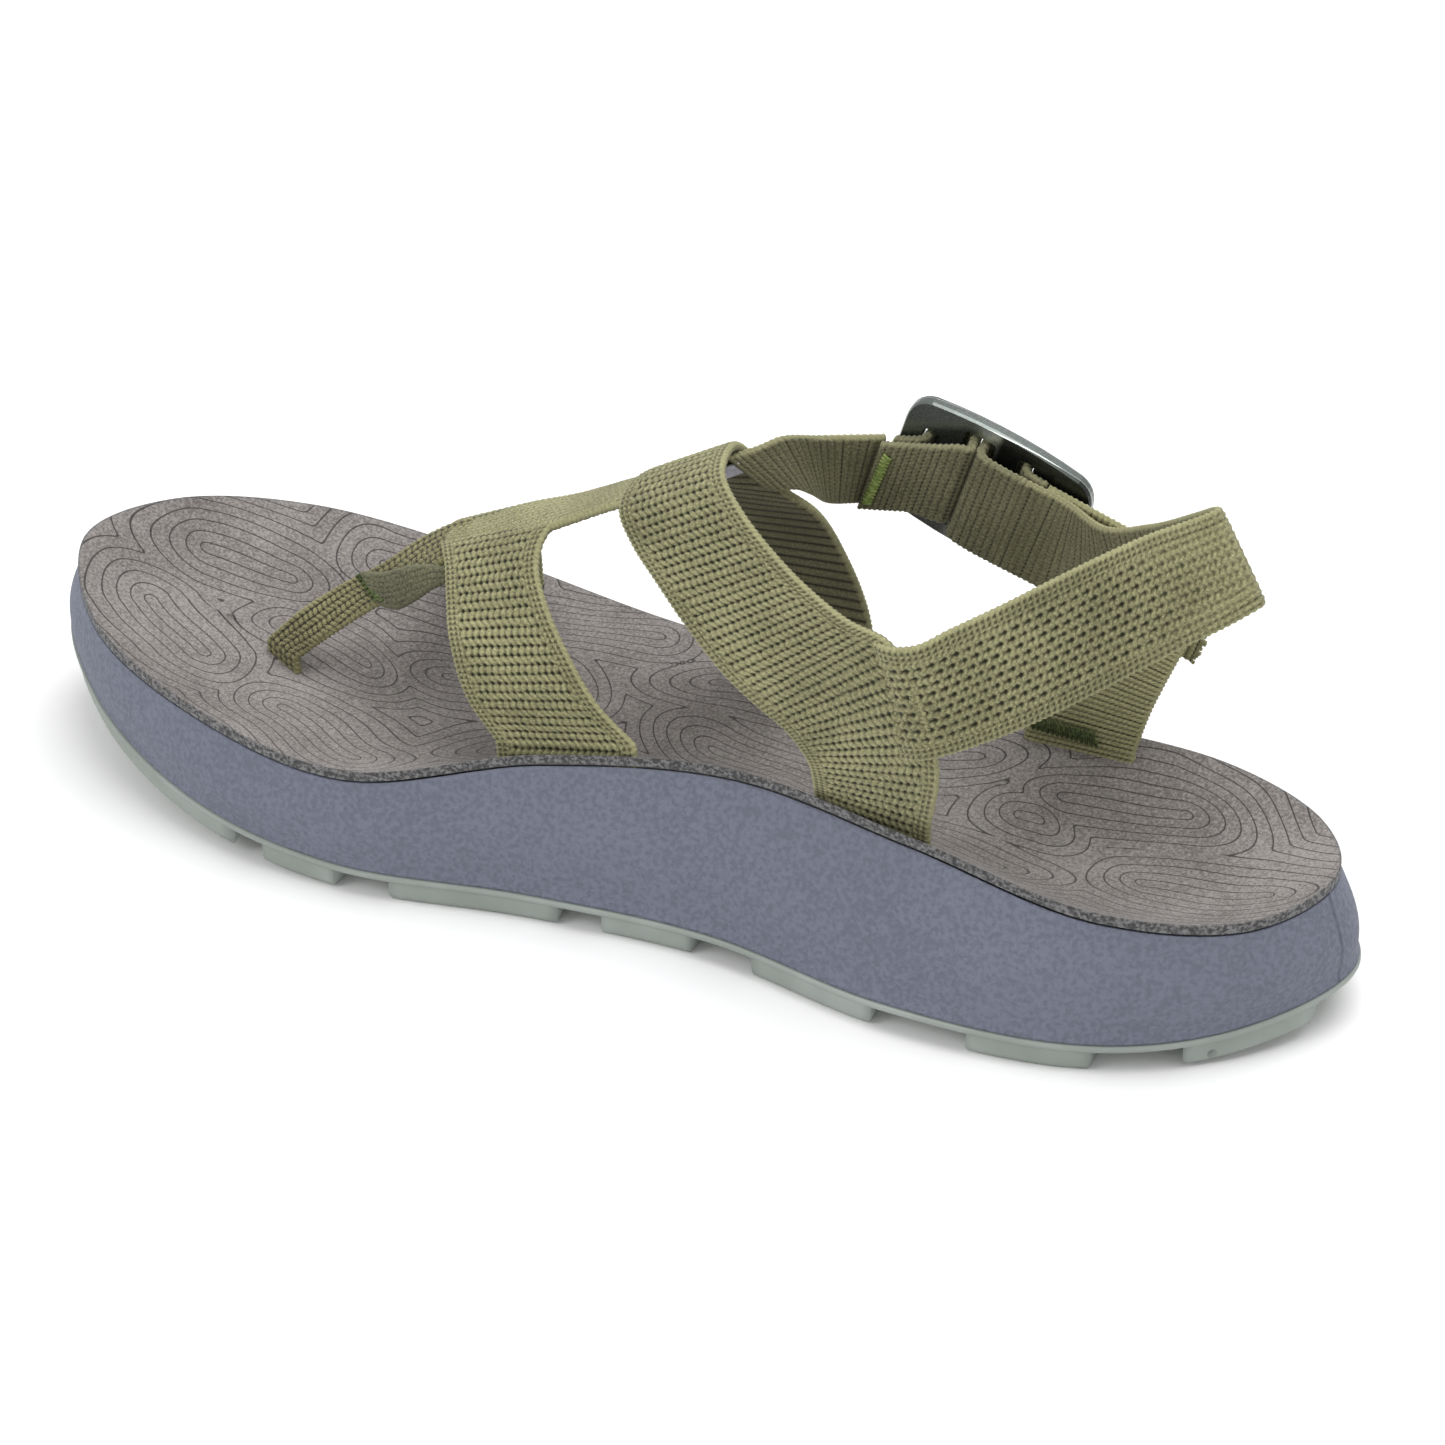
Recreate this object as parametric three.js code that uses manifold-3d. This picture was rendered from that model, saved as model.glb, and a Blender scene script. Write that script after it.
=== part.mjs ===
import * as THREE from 'three';
import * as BufferGeometryUtils from 'three/addons/utils/BufferGeometryUtils.js';
import Module from 'manifold-3d';

// Strappy sport sandal for the right foot. Millimetres, +X to the toe, +Y to the inner side, +Z up.
const wasm = await Module();
wasm.setup();

// Driving dimensions
const GAP = 0.3;              // air left between touching pieces
const SHEET = 1.8;            // rubber sheet under the foam
const LUG_INSET = 1;          // lugs' sides behind the sheet's edge
const LUG_DRAFT = 0.6;        // how much further in their feet are
const SOLE_BASE = 6.5;        // height of the foam's flat underside
const COVER = 2.6;            // footbed cover
const WEB = 1.9;              // knit and webbing
const TOE_START = 45;         // where the sole begins to rise to the toe
const TOE_RISE = 15.3;        // rise at the tip
const TOE_RUN = 97.7;
const HEEL_START = -105;      // where it begins to rise to the heel
const HEEL_RISE = 4.5;
const HEEL_RUN = 37.7;
const SPINE_STEP = 30;        // distance between heights of the footbed's middle line
const AROUND = 72;            // steps around the sole's outline
const RINGS = 5;              // rings from the rim to the spine
const DISH = 2.2;             // how the footbed flattens away from its rim
const SPINE = 0.74;           // the spine's length against the outline's
const SLOT_PLAY = 0.8;        // strap slots over the strap

// Rim of the foam wall, from the heel round the inner side to the toe and back round the outer side
const RIM = [
  [-139.3, 0, 31], [-129, 21.5, 31], [-102.3, 34.3, 33.3], [-63.3, 31.7, 37.3], [-24.3, 29, 39.9],
  [14.7, 36.3, 36.4], [55, 46.2, 26.9], [90.7, 43, 29.8], [122.7, 30, 35.2], [138.7, 7.4, 39.6],
  [131, -16.5, 37.4], [107, -34.6, 32], [68.4, -42.8, 24.8], [24.4, -41.5, 20.6], [-26.3, -35.8, 22.6],
  [-68.3, -32.5, 27], [-107.3, -29.6, 29], [-130.3, -18.6, 29.4],
];
// Foot of the foam wall in plan, in the same order
const FOOT = [
  [-144.6, -2.5], [-131, 20.7], [-101.3, 38.5], [-62.3, 42.6], [-22.7, 37.2], [16, 40.6],
  [57.2, 48.2], [93.7, 44.4], [126, 28.4], [144.6, 5.5], [136.5, -19], [110.3, -37.5],
  [70.4, -47.6], [24.1, -48.1], [-26.3, -42], [-69.3, -37.2], [-109.8, -34.2], [-133.8, -22.7],
];
// Height of the footbed's middle line at each outline point from heel to toe
const MIDDLE = [23.5, 23, 23, 23.5, 22.5, 20.4, 20, 22, 25.5, 28.5];

const vec = (p) => new THREE.Vector3(...p);
const ring = (points) => new THREE.CatmullRomCurve3(points.map(vec), true, 'centripetal');
const line = (points) => new THREE.CatmullRomCurve3(points.map(vec), false, 'centripetal');

const soleBase = (x) => SOLE_BASE
  + TOE_RISE * Math.max(0, (x - TOE_START) / TOE_RUN) ** 2
  + HEEL_RISE * Math.max(0, (HEEL_START - x) / HEEL_RUN) ** 2;

const rimCurve = ring(RIM);
const footCurve = ring(FOOT.map(([x, y]) => [x, y, 0]));
const middleCurve = line(MIDDLE.map((z, i) => [i * SPINE_STEP, 0, z]));

// A point of the spine under outline step i, the same for the inner and the outer side
function spinePoint(i) {
  const near = Math.min(i, AROUND - i);
  const a = rimCurve.getPoint(near / AROUND);
  const b = rimCurve.getPoint((AROUND - near) % AROUND / AROUND);
  const z = middleCurve.getPoint(near / (AROUND / 2)).z;
  return new THREE.Vector3((a.x + b.x) / 2 * SPINE, (a.y + b.y) / 2, z);
}

// The dished top of the foam: s runs from 0 at the rim to 1 on the spine
function dish(i, s, lift) {
  const rim = rimCurve.getPoint(i / AROUND);
  const mid = spinePoint(i);
  const z = mid.z + (rim.z - mid.z) * (1 - s) ** DISH + lift;
  return new THREE.Vector3(mid.x + (rim.x - mid.x) * (1 - s), mid.y + (rim.y - mid.y) * (1 - s), z);
}

// The sole's underside at a given drop below the foam
function under(i, s, drop, inset) {
  const foot = footCurve.getPoint(i / AROUND);
  const mid = spinePoint(i);
  const edge = 1 - inset / Math.hypot(foot.x - mid.x, foot.y - mid.y);
  const out = (1 - s) * edge;
  const x = mid.x + (foot.x - mid.x) * out;
  return new THREE.Vector3(x, mid.y + (foot.y - mid.y) * out, soleBase(x) - drop);
}

// A mesh from vertices and faces, with coincident vertices merged
function meshOf(points, faces) {
  const geometry = new THREE.BufferGeometry();
  geometry.setAttribute('position', new THREE.Float32BufferAttribute(points.flatMap((p) => p.toArray()), 3));
  geometry.setIndex(faces);
  return BufferGeometryUtils.mergeVertices(geometry, 1e-3);
}

// A closed layer of the sole between a top and a bottom surface
function layer(top, bottom) {
  const points = [];
  const faces = [];
  for (const surface of [top, bottom]) {
    for (let k = 0; k <= RINGS; k += 1) {
      for (let i = 0; i < AROUND; i += 1) points.push(surface(i, k / RINGS));
    }
  }
  const lower = (RINGS + 1) * AROUND;
  const quad = (a, b, c, d) => faces.push(a, b, c, a, c, d);
  for (let i = 0; i < AROUND; i += 1) {
    const j = (i + 1) % AROUND;
    for (let k = 0; k < RINGS; k += 1) {
      const here = k * AROUND;
      const next = here + AROUND;
      quad(here + j, here + i, next + i, next + j);
      quad(lower + here + j, lower + next + j, lower + next + i, lower + here + i);
    }
    quad(i, j, lower + j, lower + i);
  }
  return meshOf(points, faces);
}

function solid(geometry) {
  const bare = geometry.clone();
  for (const name of ['normal', 'uv']) bare.deleteAttribute(name);
  const merged = BufferGeometryUtils.mergeVertices(bare, 1e-3);
  const index = merged.index.array;
  const places = merged.attributes.position.array;
  const kept = [];
  for (let k = 0; k < index.length; k += 3) {
    const [a, b, c] = [index[k], index[k + 1], index[k + 2]];
    if (a !== b && b !== c && c !== a) kept.push(a, b, c);
  }
  return new wasm.Manifold(new wasm.Mesh({
    numProp: 3, vertProperties: new Float32Array(places), triVerts: new Uint32Array(kept),
  }));
}

function geometryOf(manifold) {
  const mesh = manifold.getMesh();
  const geometry = new THREE.BufferGeometry();
  geometry.setAttribute('position', new THREE.BufferAttribute(mesh.vertProperties, mesh.numProp));
  geometry.setIndex(new THREE.BufferAttribute(mesh.triVerts, 1));
  return geometry;
}

const joined = (...geometries) => geometryOf(geometries.map(solid).reduce((a, b) => a.add(b)));
const cut = (geometry, ...tools) => (
  geometryOf(tools.map(solid).reduce((a, b) => a.subtract(b), solid(geometry))));

// A closed strap of even thickness between two edge lines of equally many points
function strap(first, second, thick = WEB, across = 2) {
  const count = first.length;
  const middles = first.map((p, i) => p.clone().add(second[i]).multiplyScalar(0.5));
  const points = [];
  for (let i = 0; i < count; i += 1) {
    const along = middles[Math.min(i + 1, count - 1)].clone().sub(middles[Math.max(i - 1, 0)]);
    const wide = second[i].clone().sub(first[i]);
    const out = along.cross(wide).normalize().multiplyScalar(thick / 2);
    for (const side of [1, -1]) {
      for (let j = 0; j <= across; j += 1) {
        points.push(first[i].clone().lerp(second[i], j / across).addScaledVector(out, side));
      }
    }
  }
  const row = 2 * (across + 1);
  const rim = [];
  for (let j = 0; j <= across; j += 1) rim.push(j);
  for (let j = across; j >= 0; j -= 1) rim.push(across + 1 + j);
  const faces = [];
  for (let i = 0; i < count - 1; i += 1) {
    for (let k = 0; k < row; k += 1) {
      const a = i * row + rim[k];
      const b = i * row + rim[(k + 1) % row];
      faces.push(a, a + row, b + row, a, b + row, b);
    }
  }
  const last = (count - 1) * row;
  for (let j = 0; j < across; j += 1) {
    const k = across + 1 + j;
    faces.push(j, j + 1, k + 1, j, k + 1, k);
    faces.push(last + j, last + k + 1, last + j + 1, last + j, last + k, last + k + 1);
  }
  return meshOf(points, faces);
}

const smooth = (points, steps) => line(points).getPoints(steps);


// Outsole: a rubber sheet with lugs, parted by cross grooves and a long middle groove
const GROOVES = [[84.5, 7, 8], [46.5, 12, -6], [8.2, 9.5, 4], [-28, 14, -4], [-68, 20, 3], [-112, 16, 0]];
const MIDDLE_GROOVE = { at: [-18, 1, SOLE_BASE - SHEET - 3.2], size: [215, 9, 6.4] };
const OVERLAP = 0.4;          // how far joined solids reach into each other
const box = (size, place, turn = 0) => new THREE.BoxGeometry(...size)
  .rotateZ(THREE.MathUtils.degToRad(turn)).translate(...place);

function outsole() {
  const sheet = layer((i, s) => under(i, s, GAP, 0), (i, s) => under(i, s, SHEET, 0));
  const lugs = layer(
    (i, s) => under(i, s, SHEET - OVERLAP, LUG_INSET),
    (i, s) => under(i, s, SOLE_BASE, LUG_INSET + LUG_DRAFT));
  const depth = 30;
  const cross = GROOVES.map(([x, wide, turn]) => (
    box([wide, 140, depth], [x, 0, soleBase(x) - SHEET - depth / 2], turn)));
  const middle = box(MIDDLE_GROOVE.size, MIDDLE_GROOVE.at);
  return joined(sheet, cut(lugs, ...cross, middle));
}

// Where the straps go into the sole: the two edges at the footbed and at the strap's end
const FEET = {
  frontInner: [[26.3, 31.8, 36.4], [-4.2, 30, 43], [25.5, 32, 23], [-5.2, 30.3, 27]],
  rearInner: [[-41.2, 27, 41.5], [-65.8, 27.5, 39.5], [-42, 26.7, 27], [-66, 26.7, 26]],
  frontOuter: [[75.5, -37.4, 31], [52.3, -38.6, 31], [76, -37.8, 18], [52.8, -39, 18]],
  rearOuter: [[-2.5, -34.8, 30], [-28.8, -33.4, 30.5], [-2.8, -34.8, 17], [-29, -33.4, 17]],
  heelAnchor: [[-65, -25.5, 31], [-88.9, -25.5, 31.5], [-64.8, -25.3, 18], [-88.7, -25.3, 18]],
  toePost: [[92.6, 10, 29.5], [83, 14, 29.5], [92.2, 10.2, 13.3], [82.8, 13.8, 13.3]],
};
const slots = Object.values(FEET).map(([a, b, c, d]) => {
  const wide = vec(b).sub(vec(a)).normalize().multiplyScalar(SLOT_PLAY / 2);
  const deep = vec(c).sub(vec(a)).normalize().multiplyScalar(SLOT_PLAY);
  const corner = (p, side, depth) => vec(p).addScaledVector(wide, side).addScaledVector(deep, depth);
  return strap([corner(a, -1, -1), corner(c, -1, 1)], [corner(b, 1, -1), corner(d, 1, 1)], WEB + SLOT_PLAY);
});

// Midsole: foam with strap slots, and recesses underneath for the shank and the toe anchor
const SHANK = { at: [-34, -1], size: [74, 24, 1.6] };
const PLAY = 0.4;             // room around the shank and the anchor
const ANCHOR = { at: [87.6, 12], size: [20, 15, 1.8], base: 11, room: 8 };

function midsole() {
  const foam = layer((i, s) => dish(i, s, 0), (i, s) => under(i, s, 0, 0.4));
  const [length, width, thick] = SHANK.size;
  const deep = thick + 1;
  const shankRoom = box(
    [length + 2 * PLAY, width + 2 * PLAY, deep], [...SHANK.at, SOLE_BASE - 2 * GAP - 0.1 + deep / 2]);
  const [long, wide, tall] = ANCHOR.size;
  const top = ANCHOR.base + tall + GAP;
  const anchorRoom = box(
    [long + 2 * PLAY, wide + 2 * PLAY, ANCHOR.room], [...ANCHOR.at, top + 1 - ANCHOR.room / 2]);
  return cut(foam, ...slots, shankRoom, anchorRoom);
}

const footbedCover = () => cut(
  layer((i, s) => dish(i, s, COVER), (i, s) => dish(i, s, GAP)), ...slots);

const shank = () => box(SHANK.size, [...SHANK.at, SOLE_BASE + GAP + SHANK.size[2] / 2]);
const toeAnchor = () => box(ANCHOR.size, [...ANCHOR.at, ANCHOR.base + ANCHOR.size[2] / 2]);

const along = (points, foot, steps) => [...smooth(points, steps), vec(foot)];

// Knit upper: the strap over the instep to both sides of the heel end
const REAR_FRONT = [
  [-40.6, 29.5, 50], [-36, 30, 56], [-30.2, 29, 58.6], [-22, 27.5, 63], [-12, 23.5, 69], [-3, 19, 74.7],
  [4, 15, 79], [9, 10, 82.5], [9.5, 1, 84.5], [6, -9, 82.5], [3, -18, 76], [1, -26, 66], [-0.5, -31, 54],
  [-2, -34, 42],
];
const REAR_BACK = [
  [-68.5, 31.3, 58], [-64, 33, 76], [-58, 32, 83.2], [-48, 28.7, 83.6], [-37, 24, 85.8], [-27, 19, 89.2],
  [-18.9, 14, 92.7], [-12.9, 8, 95.1], [-10, -1, 95.2], [-9, -9, 91.5], [-14.2, -15.5, 80],
  [-20, -22, 71.4], [-23.8, -28, 58.3], [-26.8, -32, 44.7],
];
// The bridge from the toe seam to the instep
const BRIDGE_OUTER = [
  [56.6, -2.4, 58.4], [48.4, -4, 61.7], [37.7, -6, 67.4], [26.1, -6.5, 72.3], [15.9, -7, 77.5], [6, -8, 82.6],
];
const BRIDGE_INNER = [
  [50.2, 8.5, 57], [41.5, 8.6, 61.8], [33, 7.6, 66.5], [26, 6.2, 71.2], [17.5, 5.6, 76.4], [6, 6.5, 83],
];
// The two front arms
const INNER_FRONT = [[50, 3, 60], [46.3, 11, 58.5], [43.8, 18, 54.4], [39.9, 24, 49.4], [33.9, 29, 42.1]];
const INNER_BACK = [[27, 3, 70], [25, 11, 67.8], [21.8, 17, 64.6], [15.1, 23, 56.9], [5.4, 28, 48.9]];
const OUTER_FRONT = [[52, 1, 60], [54.5, -6, 58], [61.5, -15, 50.5], [67.5, -25, 41.8], [72, -33, 36]];
const OUTER_BACK = [[30, 1, 70], [33, -7, 68], [38.5, -17, 60.5], [45, -28, 50], [49.8, -35, 39.5]];

function instepKnit() {
  const { frontInner: a, frontOuter: b, rearInner: c, rearOuter: d } = FEET;
  const rear = strap(
    [vec(c[2]), ...smooth([c[0], ...REAR_FRONT, d[0]], 26), vec(d[2])],
    [vec(c[3]), ...smooth([c[1], ...REAR_BACK, d[1]], 26), vec(d[3])]);
  const bridge = strap(smooth(BRIDGE_OUTER, 10), smooth(BRIDGE_INNER, 10));
  const inner = strap(along([...INNER_FRONT, a[0]], a[2], 9), along([...INNER_BACK, a[1]], a[3], 9));
  const outer = strap(along([...OUTER_FRONT, b[0]], b[2], 9), along([...OUTER_BACK, b[1]], b[3], 9));
  return joined(rear, bridge, inner, outer);
}

const POST_FRONT = [[84.8, 8.6, 38], [76.4, 6, 44.8], [67.4, 3, 50.8], [60.6, -1.2, 56]];
const POST_BACK = [[77, 12.5, 35], [66.9, 10.5, 43.7], [58, 9.4, 50.3], [51.8, 9.2, 55.8]];
function toePost() {
  const [front, back, frontEnd, backEnd] = FEET.toePost;
  return strap(
    [vec(frontEnd), ...smooth([front, ...POST_FRONT], 12)],
    [vec(backEnd), ...smooth([back, ...POST_BACK], 12)]);
}

// Buckle frame: along the strap to the heel, up across it, and out from the foot
const BUCKLE_AT = vec([-50.2, -37, 76.8]);
const TO_HEEL = vec([-0.95, 0, -0.31]).normalize();
const OUT = vec([0, -1, 0.14]).normalize();
const UP = TO_HEEL.clone().cross(OUT).normalize();
const BUCKLE = { length: 42.4, width: 33, thick: 2.8, bevel: 0.6 };
// Slots: from and to along the strap, lowest and highest across it
const BUCKLE_SLOTS = [[-16.3, -13.2, -12.9, 8.2], [-8.2, -1.6, -12.9, 12.9], [4, 7.1, -12.9, 12.9]];
const SLOT_CORNER = 1.2;
const HEEL_HALF = 12.2;       // half the width of the heel strap in the buckle
const ANKLE_HALF = 9.8;       // half the width of the ankle strap's loop
const UNDER = -2.9;           // webbing against the buckle's inner face
const LOWER = -5.15;          // the second layer below it
const SKEW = 0.6;             // how the ankle strap leaves the buckle at an angle
const at = (u, v, n) => BUCKLE_AT.clone()
  .addScaledVector(TO_HEEL, u).addScaledVector(UP, v).addScaledVector(OUT, n);
const skewed = (u) => (u < -11 ? SKEW * (u + 11) : 0);
const edge = (path, v) => path.map(([u, n]) => at(u, v + skewed(u), n));
const webbing = (path, steps, half) => {
  const flat = line(path.map(([u, n]) => [u, 0, n])).getPoints(steps).map((p) => [p.x, p.z]);
  return strap(edge(flat, half), edge(flat, -half), WEB, 1);
};
const LOOP = [
  [-23, LOWER], [-18, LOWER], [-13, LOWER], [-9.2, -5], [-7.1, -3.6], [-6.7, -1], [-6.7, 1], [-7.8, 2.5],
  [-11, 2.9], [-13.7, 2.5], [-14.6, 1], [-14.7, -1], [-15.8, -2.4], [-18.2, UNDER], [-21.2, UNDER],
];
const WRAP = [
  [5.6, LOWER], [0.9, -5], [-2.1, -3.7], [-2.9, -1.2], [-2.9, 1], [-1.8, 2.5], [1.8, 2.9], [4.3, 2.5],
  [5.3, 1], [5.4, -1], [6.7, -2.5], [9.4, UNDER], [11.2, UNDER],
];
const TAIL = { from: 11.6, to: 52, half: 11.8 };

function buckle() {
  const { length, width, thick, bevel } = BUCKLE;
  const [x, y] = [length / 2 - bevel, width / 2 - bevel];
  const outline = new THREE.Shape()
    .moveTo(-x + 4, -y + 1.4).quadraticCurveTo(0, -y - 1.4, x - 4, -y + 1.4)
    .quadraticCurveTo(x, -y + 2.6, x, -y + 8).lineTo(x, y - 8)
    .quadraticCurveTo(x, y - 2.6, x - 4, y - 1.4).quadraticCurveTo(0, y + 1.4, -x + 4, y - 1.4)
    .quadraticCurveTo(-x, y - 2.6, -x, y - 8).lineTo(-x, -y + 8)
    .quadraticCurveTo(-x, -y + 2.6, -x + 4, -y + 1.4);
  for (const [from, to, low, high] of BUCKLE_SLOTS) {
    const [a, b, c, d, r] = [from - bevel / 2, to + bevel / 2, -high, -low, SLOT_CORNER];
    outline.holes.push(new THREE.Path()
      .moveTo(a, c + r).lineTo(a, d - r).quadraticCurveTo(a, d, a + r, d)
      .lineTo(b - r, d).quadraticCurveTo(b, d, b, d - r)
      .lineTo(b, c + r).quadraticCurveTo(b, c, b - r, c)
      .lineTo(a + r, c).quadraticCurveTo(a, c, a, c + r));
  }
  return new THREE.ExtrudeGeometry(outline, {
    depth: thick - 2 * bevel, bevelThickness: bevel, bevelSize: bevel / 2, bevelSegments: 1, curveSegments: 7,
  }).translate(0, 0, bevel - thick / 2)
    .applyMatrix4(new THREE.Matrix4().makeBasis(TO_HEEL, UP.clone().negate(), OUT))
    .translate(...BUCKLE_AT.toArray());
}

// The stretch of knit from the instep to the buckle's loop
function ankleStrap() {
  const [high, low] = [1, -1].map((side) => at(-23.2, side * ANKLE_HALF + skewed(-23.2), UNDER).toArray());
  return strap(
    smooth([[-10.9, -10.3, 91.2], [-14.4, -16, 91.5], [-19.5, -24, 88.6], high], 8),
    smooth([[-16.6, -17.2, 79.2], [-18.2, -22, 75.6], [-18.8, -28.5, 70.5], low], 8));
}

// Heel strap from the inner branch round the heel to the buckle
const HEEL_HIGH = [
  [-63.2, 32.4, 84.2], [-69, 28.9, 87.6], [-77, 24, 92.2], [-85, 18.5, 97], [-92.5, 12, 100.8],
  [-99, 6.4, 103.6],
  [-104.8, 2.6, 105.8], [-108.4, -0.6, 107], [-106.5, -5.4, 104.2], [-101.2, -10.5, 98.7], [-89.5, -21, 87.5],
  [-78.5, -25.8, 81.6],
];
const HEEL_LOW = [
  [-70.4, 31, 61], [-76, 28.7, 63.6], [-84, 24.8, 67.8], [-91.8, 19.6, 72.3], [-100, 13.3, 77.2],
  [-108, 7.6, 81.9], [-114.8, 3.3, 86], [-118.8, -0.6, 88.4], [-116.5, -6, 84.6], [-110.5, -12, 77.6],
  [-98.5, -21, 66.5], [-85.5, -26.2, 59.4],
];
function heelStrap() {
  const ends = [1, -1].map((side) => [16, 6.4].map((u) => at(u, side * HEEL_HALF, LOWER).toArray()));
  return strap(smooth([...HEEL_HIGH, ...ends[0]], 30), smooth([...HEEL_LOW, ...ends[1]], 30));
}

const strapTail = () => strap(
  edge([[TAIL.from, UNDER], [TAIL.to, UNDER]], TAIL.half),
  edge([[TAIL.from, UNDER], [TAIL.to, UNDER]], -TAIL.half));

function heelAnchor() {
  const [front, back, frontEnd, backEnd] = FEET.heelAnchor;
  return strap(
    [vec(frontEnd), ...smooth([front, [-68.5, -27.5, 42], [-73.5, -30.9, 54], [-79.5, -31.9, 66]], 8)],
    [vec(backEnd), ...smooth([back, [-91.2, -26, 41], [-94.5, -27.8, 51], [-98.5, -28.9, 61.5]], 8)]);
}

// Raised stitching: a short bar between two points of a strap's face
function bartack(from, to, width, lift) {
  const [a, b] = [vec(from), vec(to)];
  const side = vec(width);
  return strap(
    [a.clone().add(side), b.clone().add(side)], [a.clone().sub(side), b.clone().sub(side)], lift, 1);
}

// Bars of stitching: two ends, half the width, and thickness
const LOOP_STITCH = [at(-20.6, 1, LOWER - 1.75), at(-21.4, -13.4, LOWER - 1.75)];
const STITCHES = {
  loop_bartack: [...LOOP_STITCH.map((p) => p.toArray()), TO_HEEL.clone().multiplyScalar(1.3).toArray(), 0.7],
  anchor_bartack: [[-67.2, -23.7, 33.4], [-81, -23.5, 33.2], [0, 0.2, 2], 0.7],
  toe_post_bartack: [[73, 5.7, 48.6], [63.8, 11.1, 47.5], [-1, -0.3, 0.7], 0.7],
};

// A blank woven size tag inside the knit, where the outer side of the instep begins
const sizeTag = () => strap(
  [[-9.4, -5.6, 89.7], [-10.4, -10, 86.2]].map(vec),
  [[-2.4, -4.6, 85.7], [-4.4, -10, 82.4]].map(vec), 0.5, 1);

const MATERIALS = {
  rubber: { color: 0xa3aaa2, roughness: 0.75 },
  foam: { color: 0x767b8c, roughness: 0.85 },
  suede: { color: 0x87837f, roughness: 0.95 },
  nylon: { color: 0x3a3c40, roughness: 0.6 },
  knit: { color: 0x80804f, roughness: 0.9 },
  webbing: { color: 0x77774e, roughness: 0.9 },
  thread: { color: 0x7da04f, roughness: 0.8 },
  gunmetal: { color: 0x4a4f50, roughness: 0.32, metalness: 0.9 },
  label: { color: 0xc9c8d2, roughness: 0.8 },
};
const PIECES = [
  ['outsole', outsole, 'rubber'],
  ['midsole', midsole, 'foam'],
  ['arch_shank', shank, 'nylon'],
  ['toe_post_anchor', toeAnchor, 'nylon'],
  ['footbed_cover', footbedCover, 'suede'],
  ['toe_post', toePost, 'webbing'],
  ['instep_knit', instepKnit, 'knit'],
  ['ankle_strap', ankleStrap, 'knit'],
  ['buckle_loop', () => webbing(LOOP, 30, ANKLE_HALF), 'knit'],
  ['buckle', buckle, 'gunmetal'],
  ['heel_strap', heelStrap, 'knit'],
  ['buckle_wrap', () => webbing(WRAP, 24, HEEL_HALF), 'webbing'],
  ['strap_tail', strapTail, 'webbing'],
  ['heel_anchor_strap', heelAnchor, 'webbing'],
  ['size_tag', sizeTag, 'label'],
  ...Object.entries(STITCHES).map(([name, shape]) => [name, () => bartack(...shape), 'thread']),
];

const sandal = new THREE.Group();
for (const [name, make, finish] of PIECES) {
  const mesh = new THREE.Mesh(make(), new THREE.MeshStandardMaterial(MATERIALS[finish]));
  mesh.name = name;
  sandal.add(mesh);
}
export default sandal;
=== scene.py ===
import math

import bmesh
import bpy
import numpy as np
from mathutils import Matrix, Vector


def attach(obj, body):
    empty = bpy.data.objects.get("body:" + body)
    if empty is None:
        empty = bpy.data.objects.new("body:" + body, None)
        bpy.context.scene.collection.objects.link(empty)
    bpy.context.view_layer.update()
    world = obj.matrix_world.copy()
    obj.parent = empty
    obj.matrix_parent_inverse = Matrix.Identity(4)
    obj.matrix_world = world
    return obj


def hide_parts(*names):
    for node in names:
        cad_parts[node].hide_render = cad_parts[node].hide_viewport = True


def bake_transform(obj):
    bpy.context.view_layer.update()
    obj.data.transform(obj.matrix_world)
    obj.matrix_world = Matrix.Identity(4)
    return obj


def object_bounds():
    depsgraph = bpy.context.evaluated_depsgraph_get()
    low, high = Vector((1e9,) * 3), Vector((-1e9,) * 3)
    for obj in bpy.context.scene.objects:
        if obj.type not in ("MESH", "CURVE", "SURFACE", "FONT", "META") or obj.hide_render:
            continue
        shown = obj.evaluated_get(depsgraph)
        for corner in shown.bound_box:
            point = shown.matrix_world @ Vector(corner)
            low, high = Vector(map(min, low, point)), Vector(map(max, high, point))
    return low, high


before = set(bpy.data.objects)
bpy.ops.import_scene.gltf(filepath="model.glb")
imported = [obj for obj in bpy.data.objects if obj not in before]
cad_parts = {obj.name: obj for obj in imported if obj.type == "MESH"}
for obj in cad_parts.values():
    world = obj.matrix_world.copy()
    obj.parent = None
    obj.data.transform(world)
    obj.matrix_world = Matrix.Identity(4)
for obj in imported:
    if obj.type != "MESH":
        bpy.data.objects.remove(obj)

# Strappy sport sandal for the right foot. Lengths here are in millimetres until a mesh is made.
CAD_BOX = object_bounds()
MM = 0.001

# Sole
SHEET_GAP = 0.3               # between the foam and the rubber sheet
SHEET = 1.8                   # rubber sheet, from the foam's underside
SOLE_BASE = 6.5               # height of the foam's flat underside
COVER = 2.6                   # footbed cover
# How the foam's underside rises: where it starts, how high, and over which run
TOE_START, TOE_RISE, TOE_RUN = 45, 15.3, 97.7
HEEL_START, HEEL_RISE, HEEL_RUN = -105, 4.5, 37.7
DISH = 2.2                    # how the footbed flattens away from its rim
SPINE = 0.74                  # the spine's length against the outline's
AROUND = 540                  # steps around the sole
WALL_SWELL = 1.3              # how far the foam wall swells between its rim and its foot

# Knit and webbing
WEB = 1.9                     # thickness
STITCH_STEP = 0.34            # length of a mesh row along a strap
ROW, COLUMN = 2.0, 1.55       # knit rows along the strap, and gaps across it
DENSE = 3.4                   # width of the dense columns along each edge
BEAD = 1.2                    # length of a bead of the edge yarn
ROUTE_STEPS = 600             # places along a strap's smooth edges
SINK_RUN = 9                  # over how long a run a strap's end sinks into another piece
TWIST_PASSES = 6              # smoothing of a strap's outward direction
RIM_POINTS = 5                # round each rim of a strap's cross section

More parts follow.
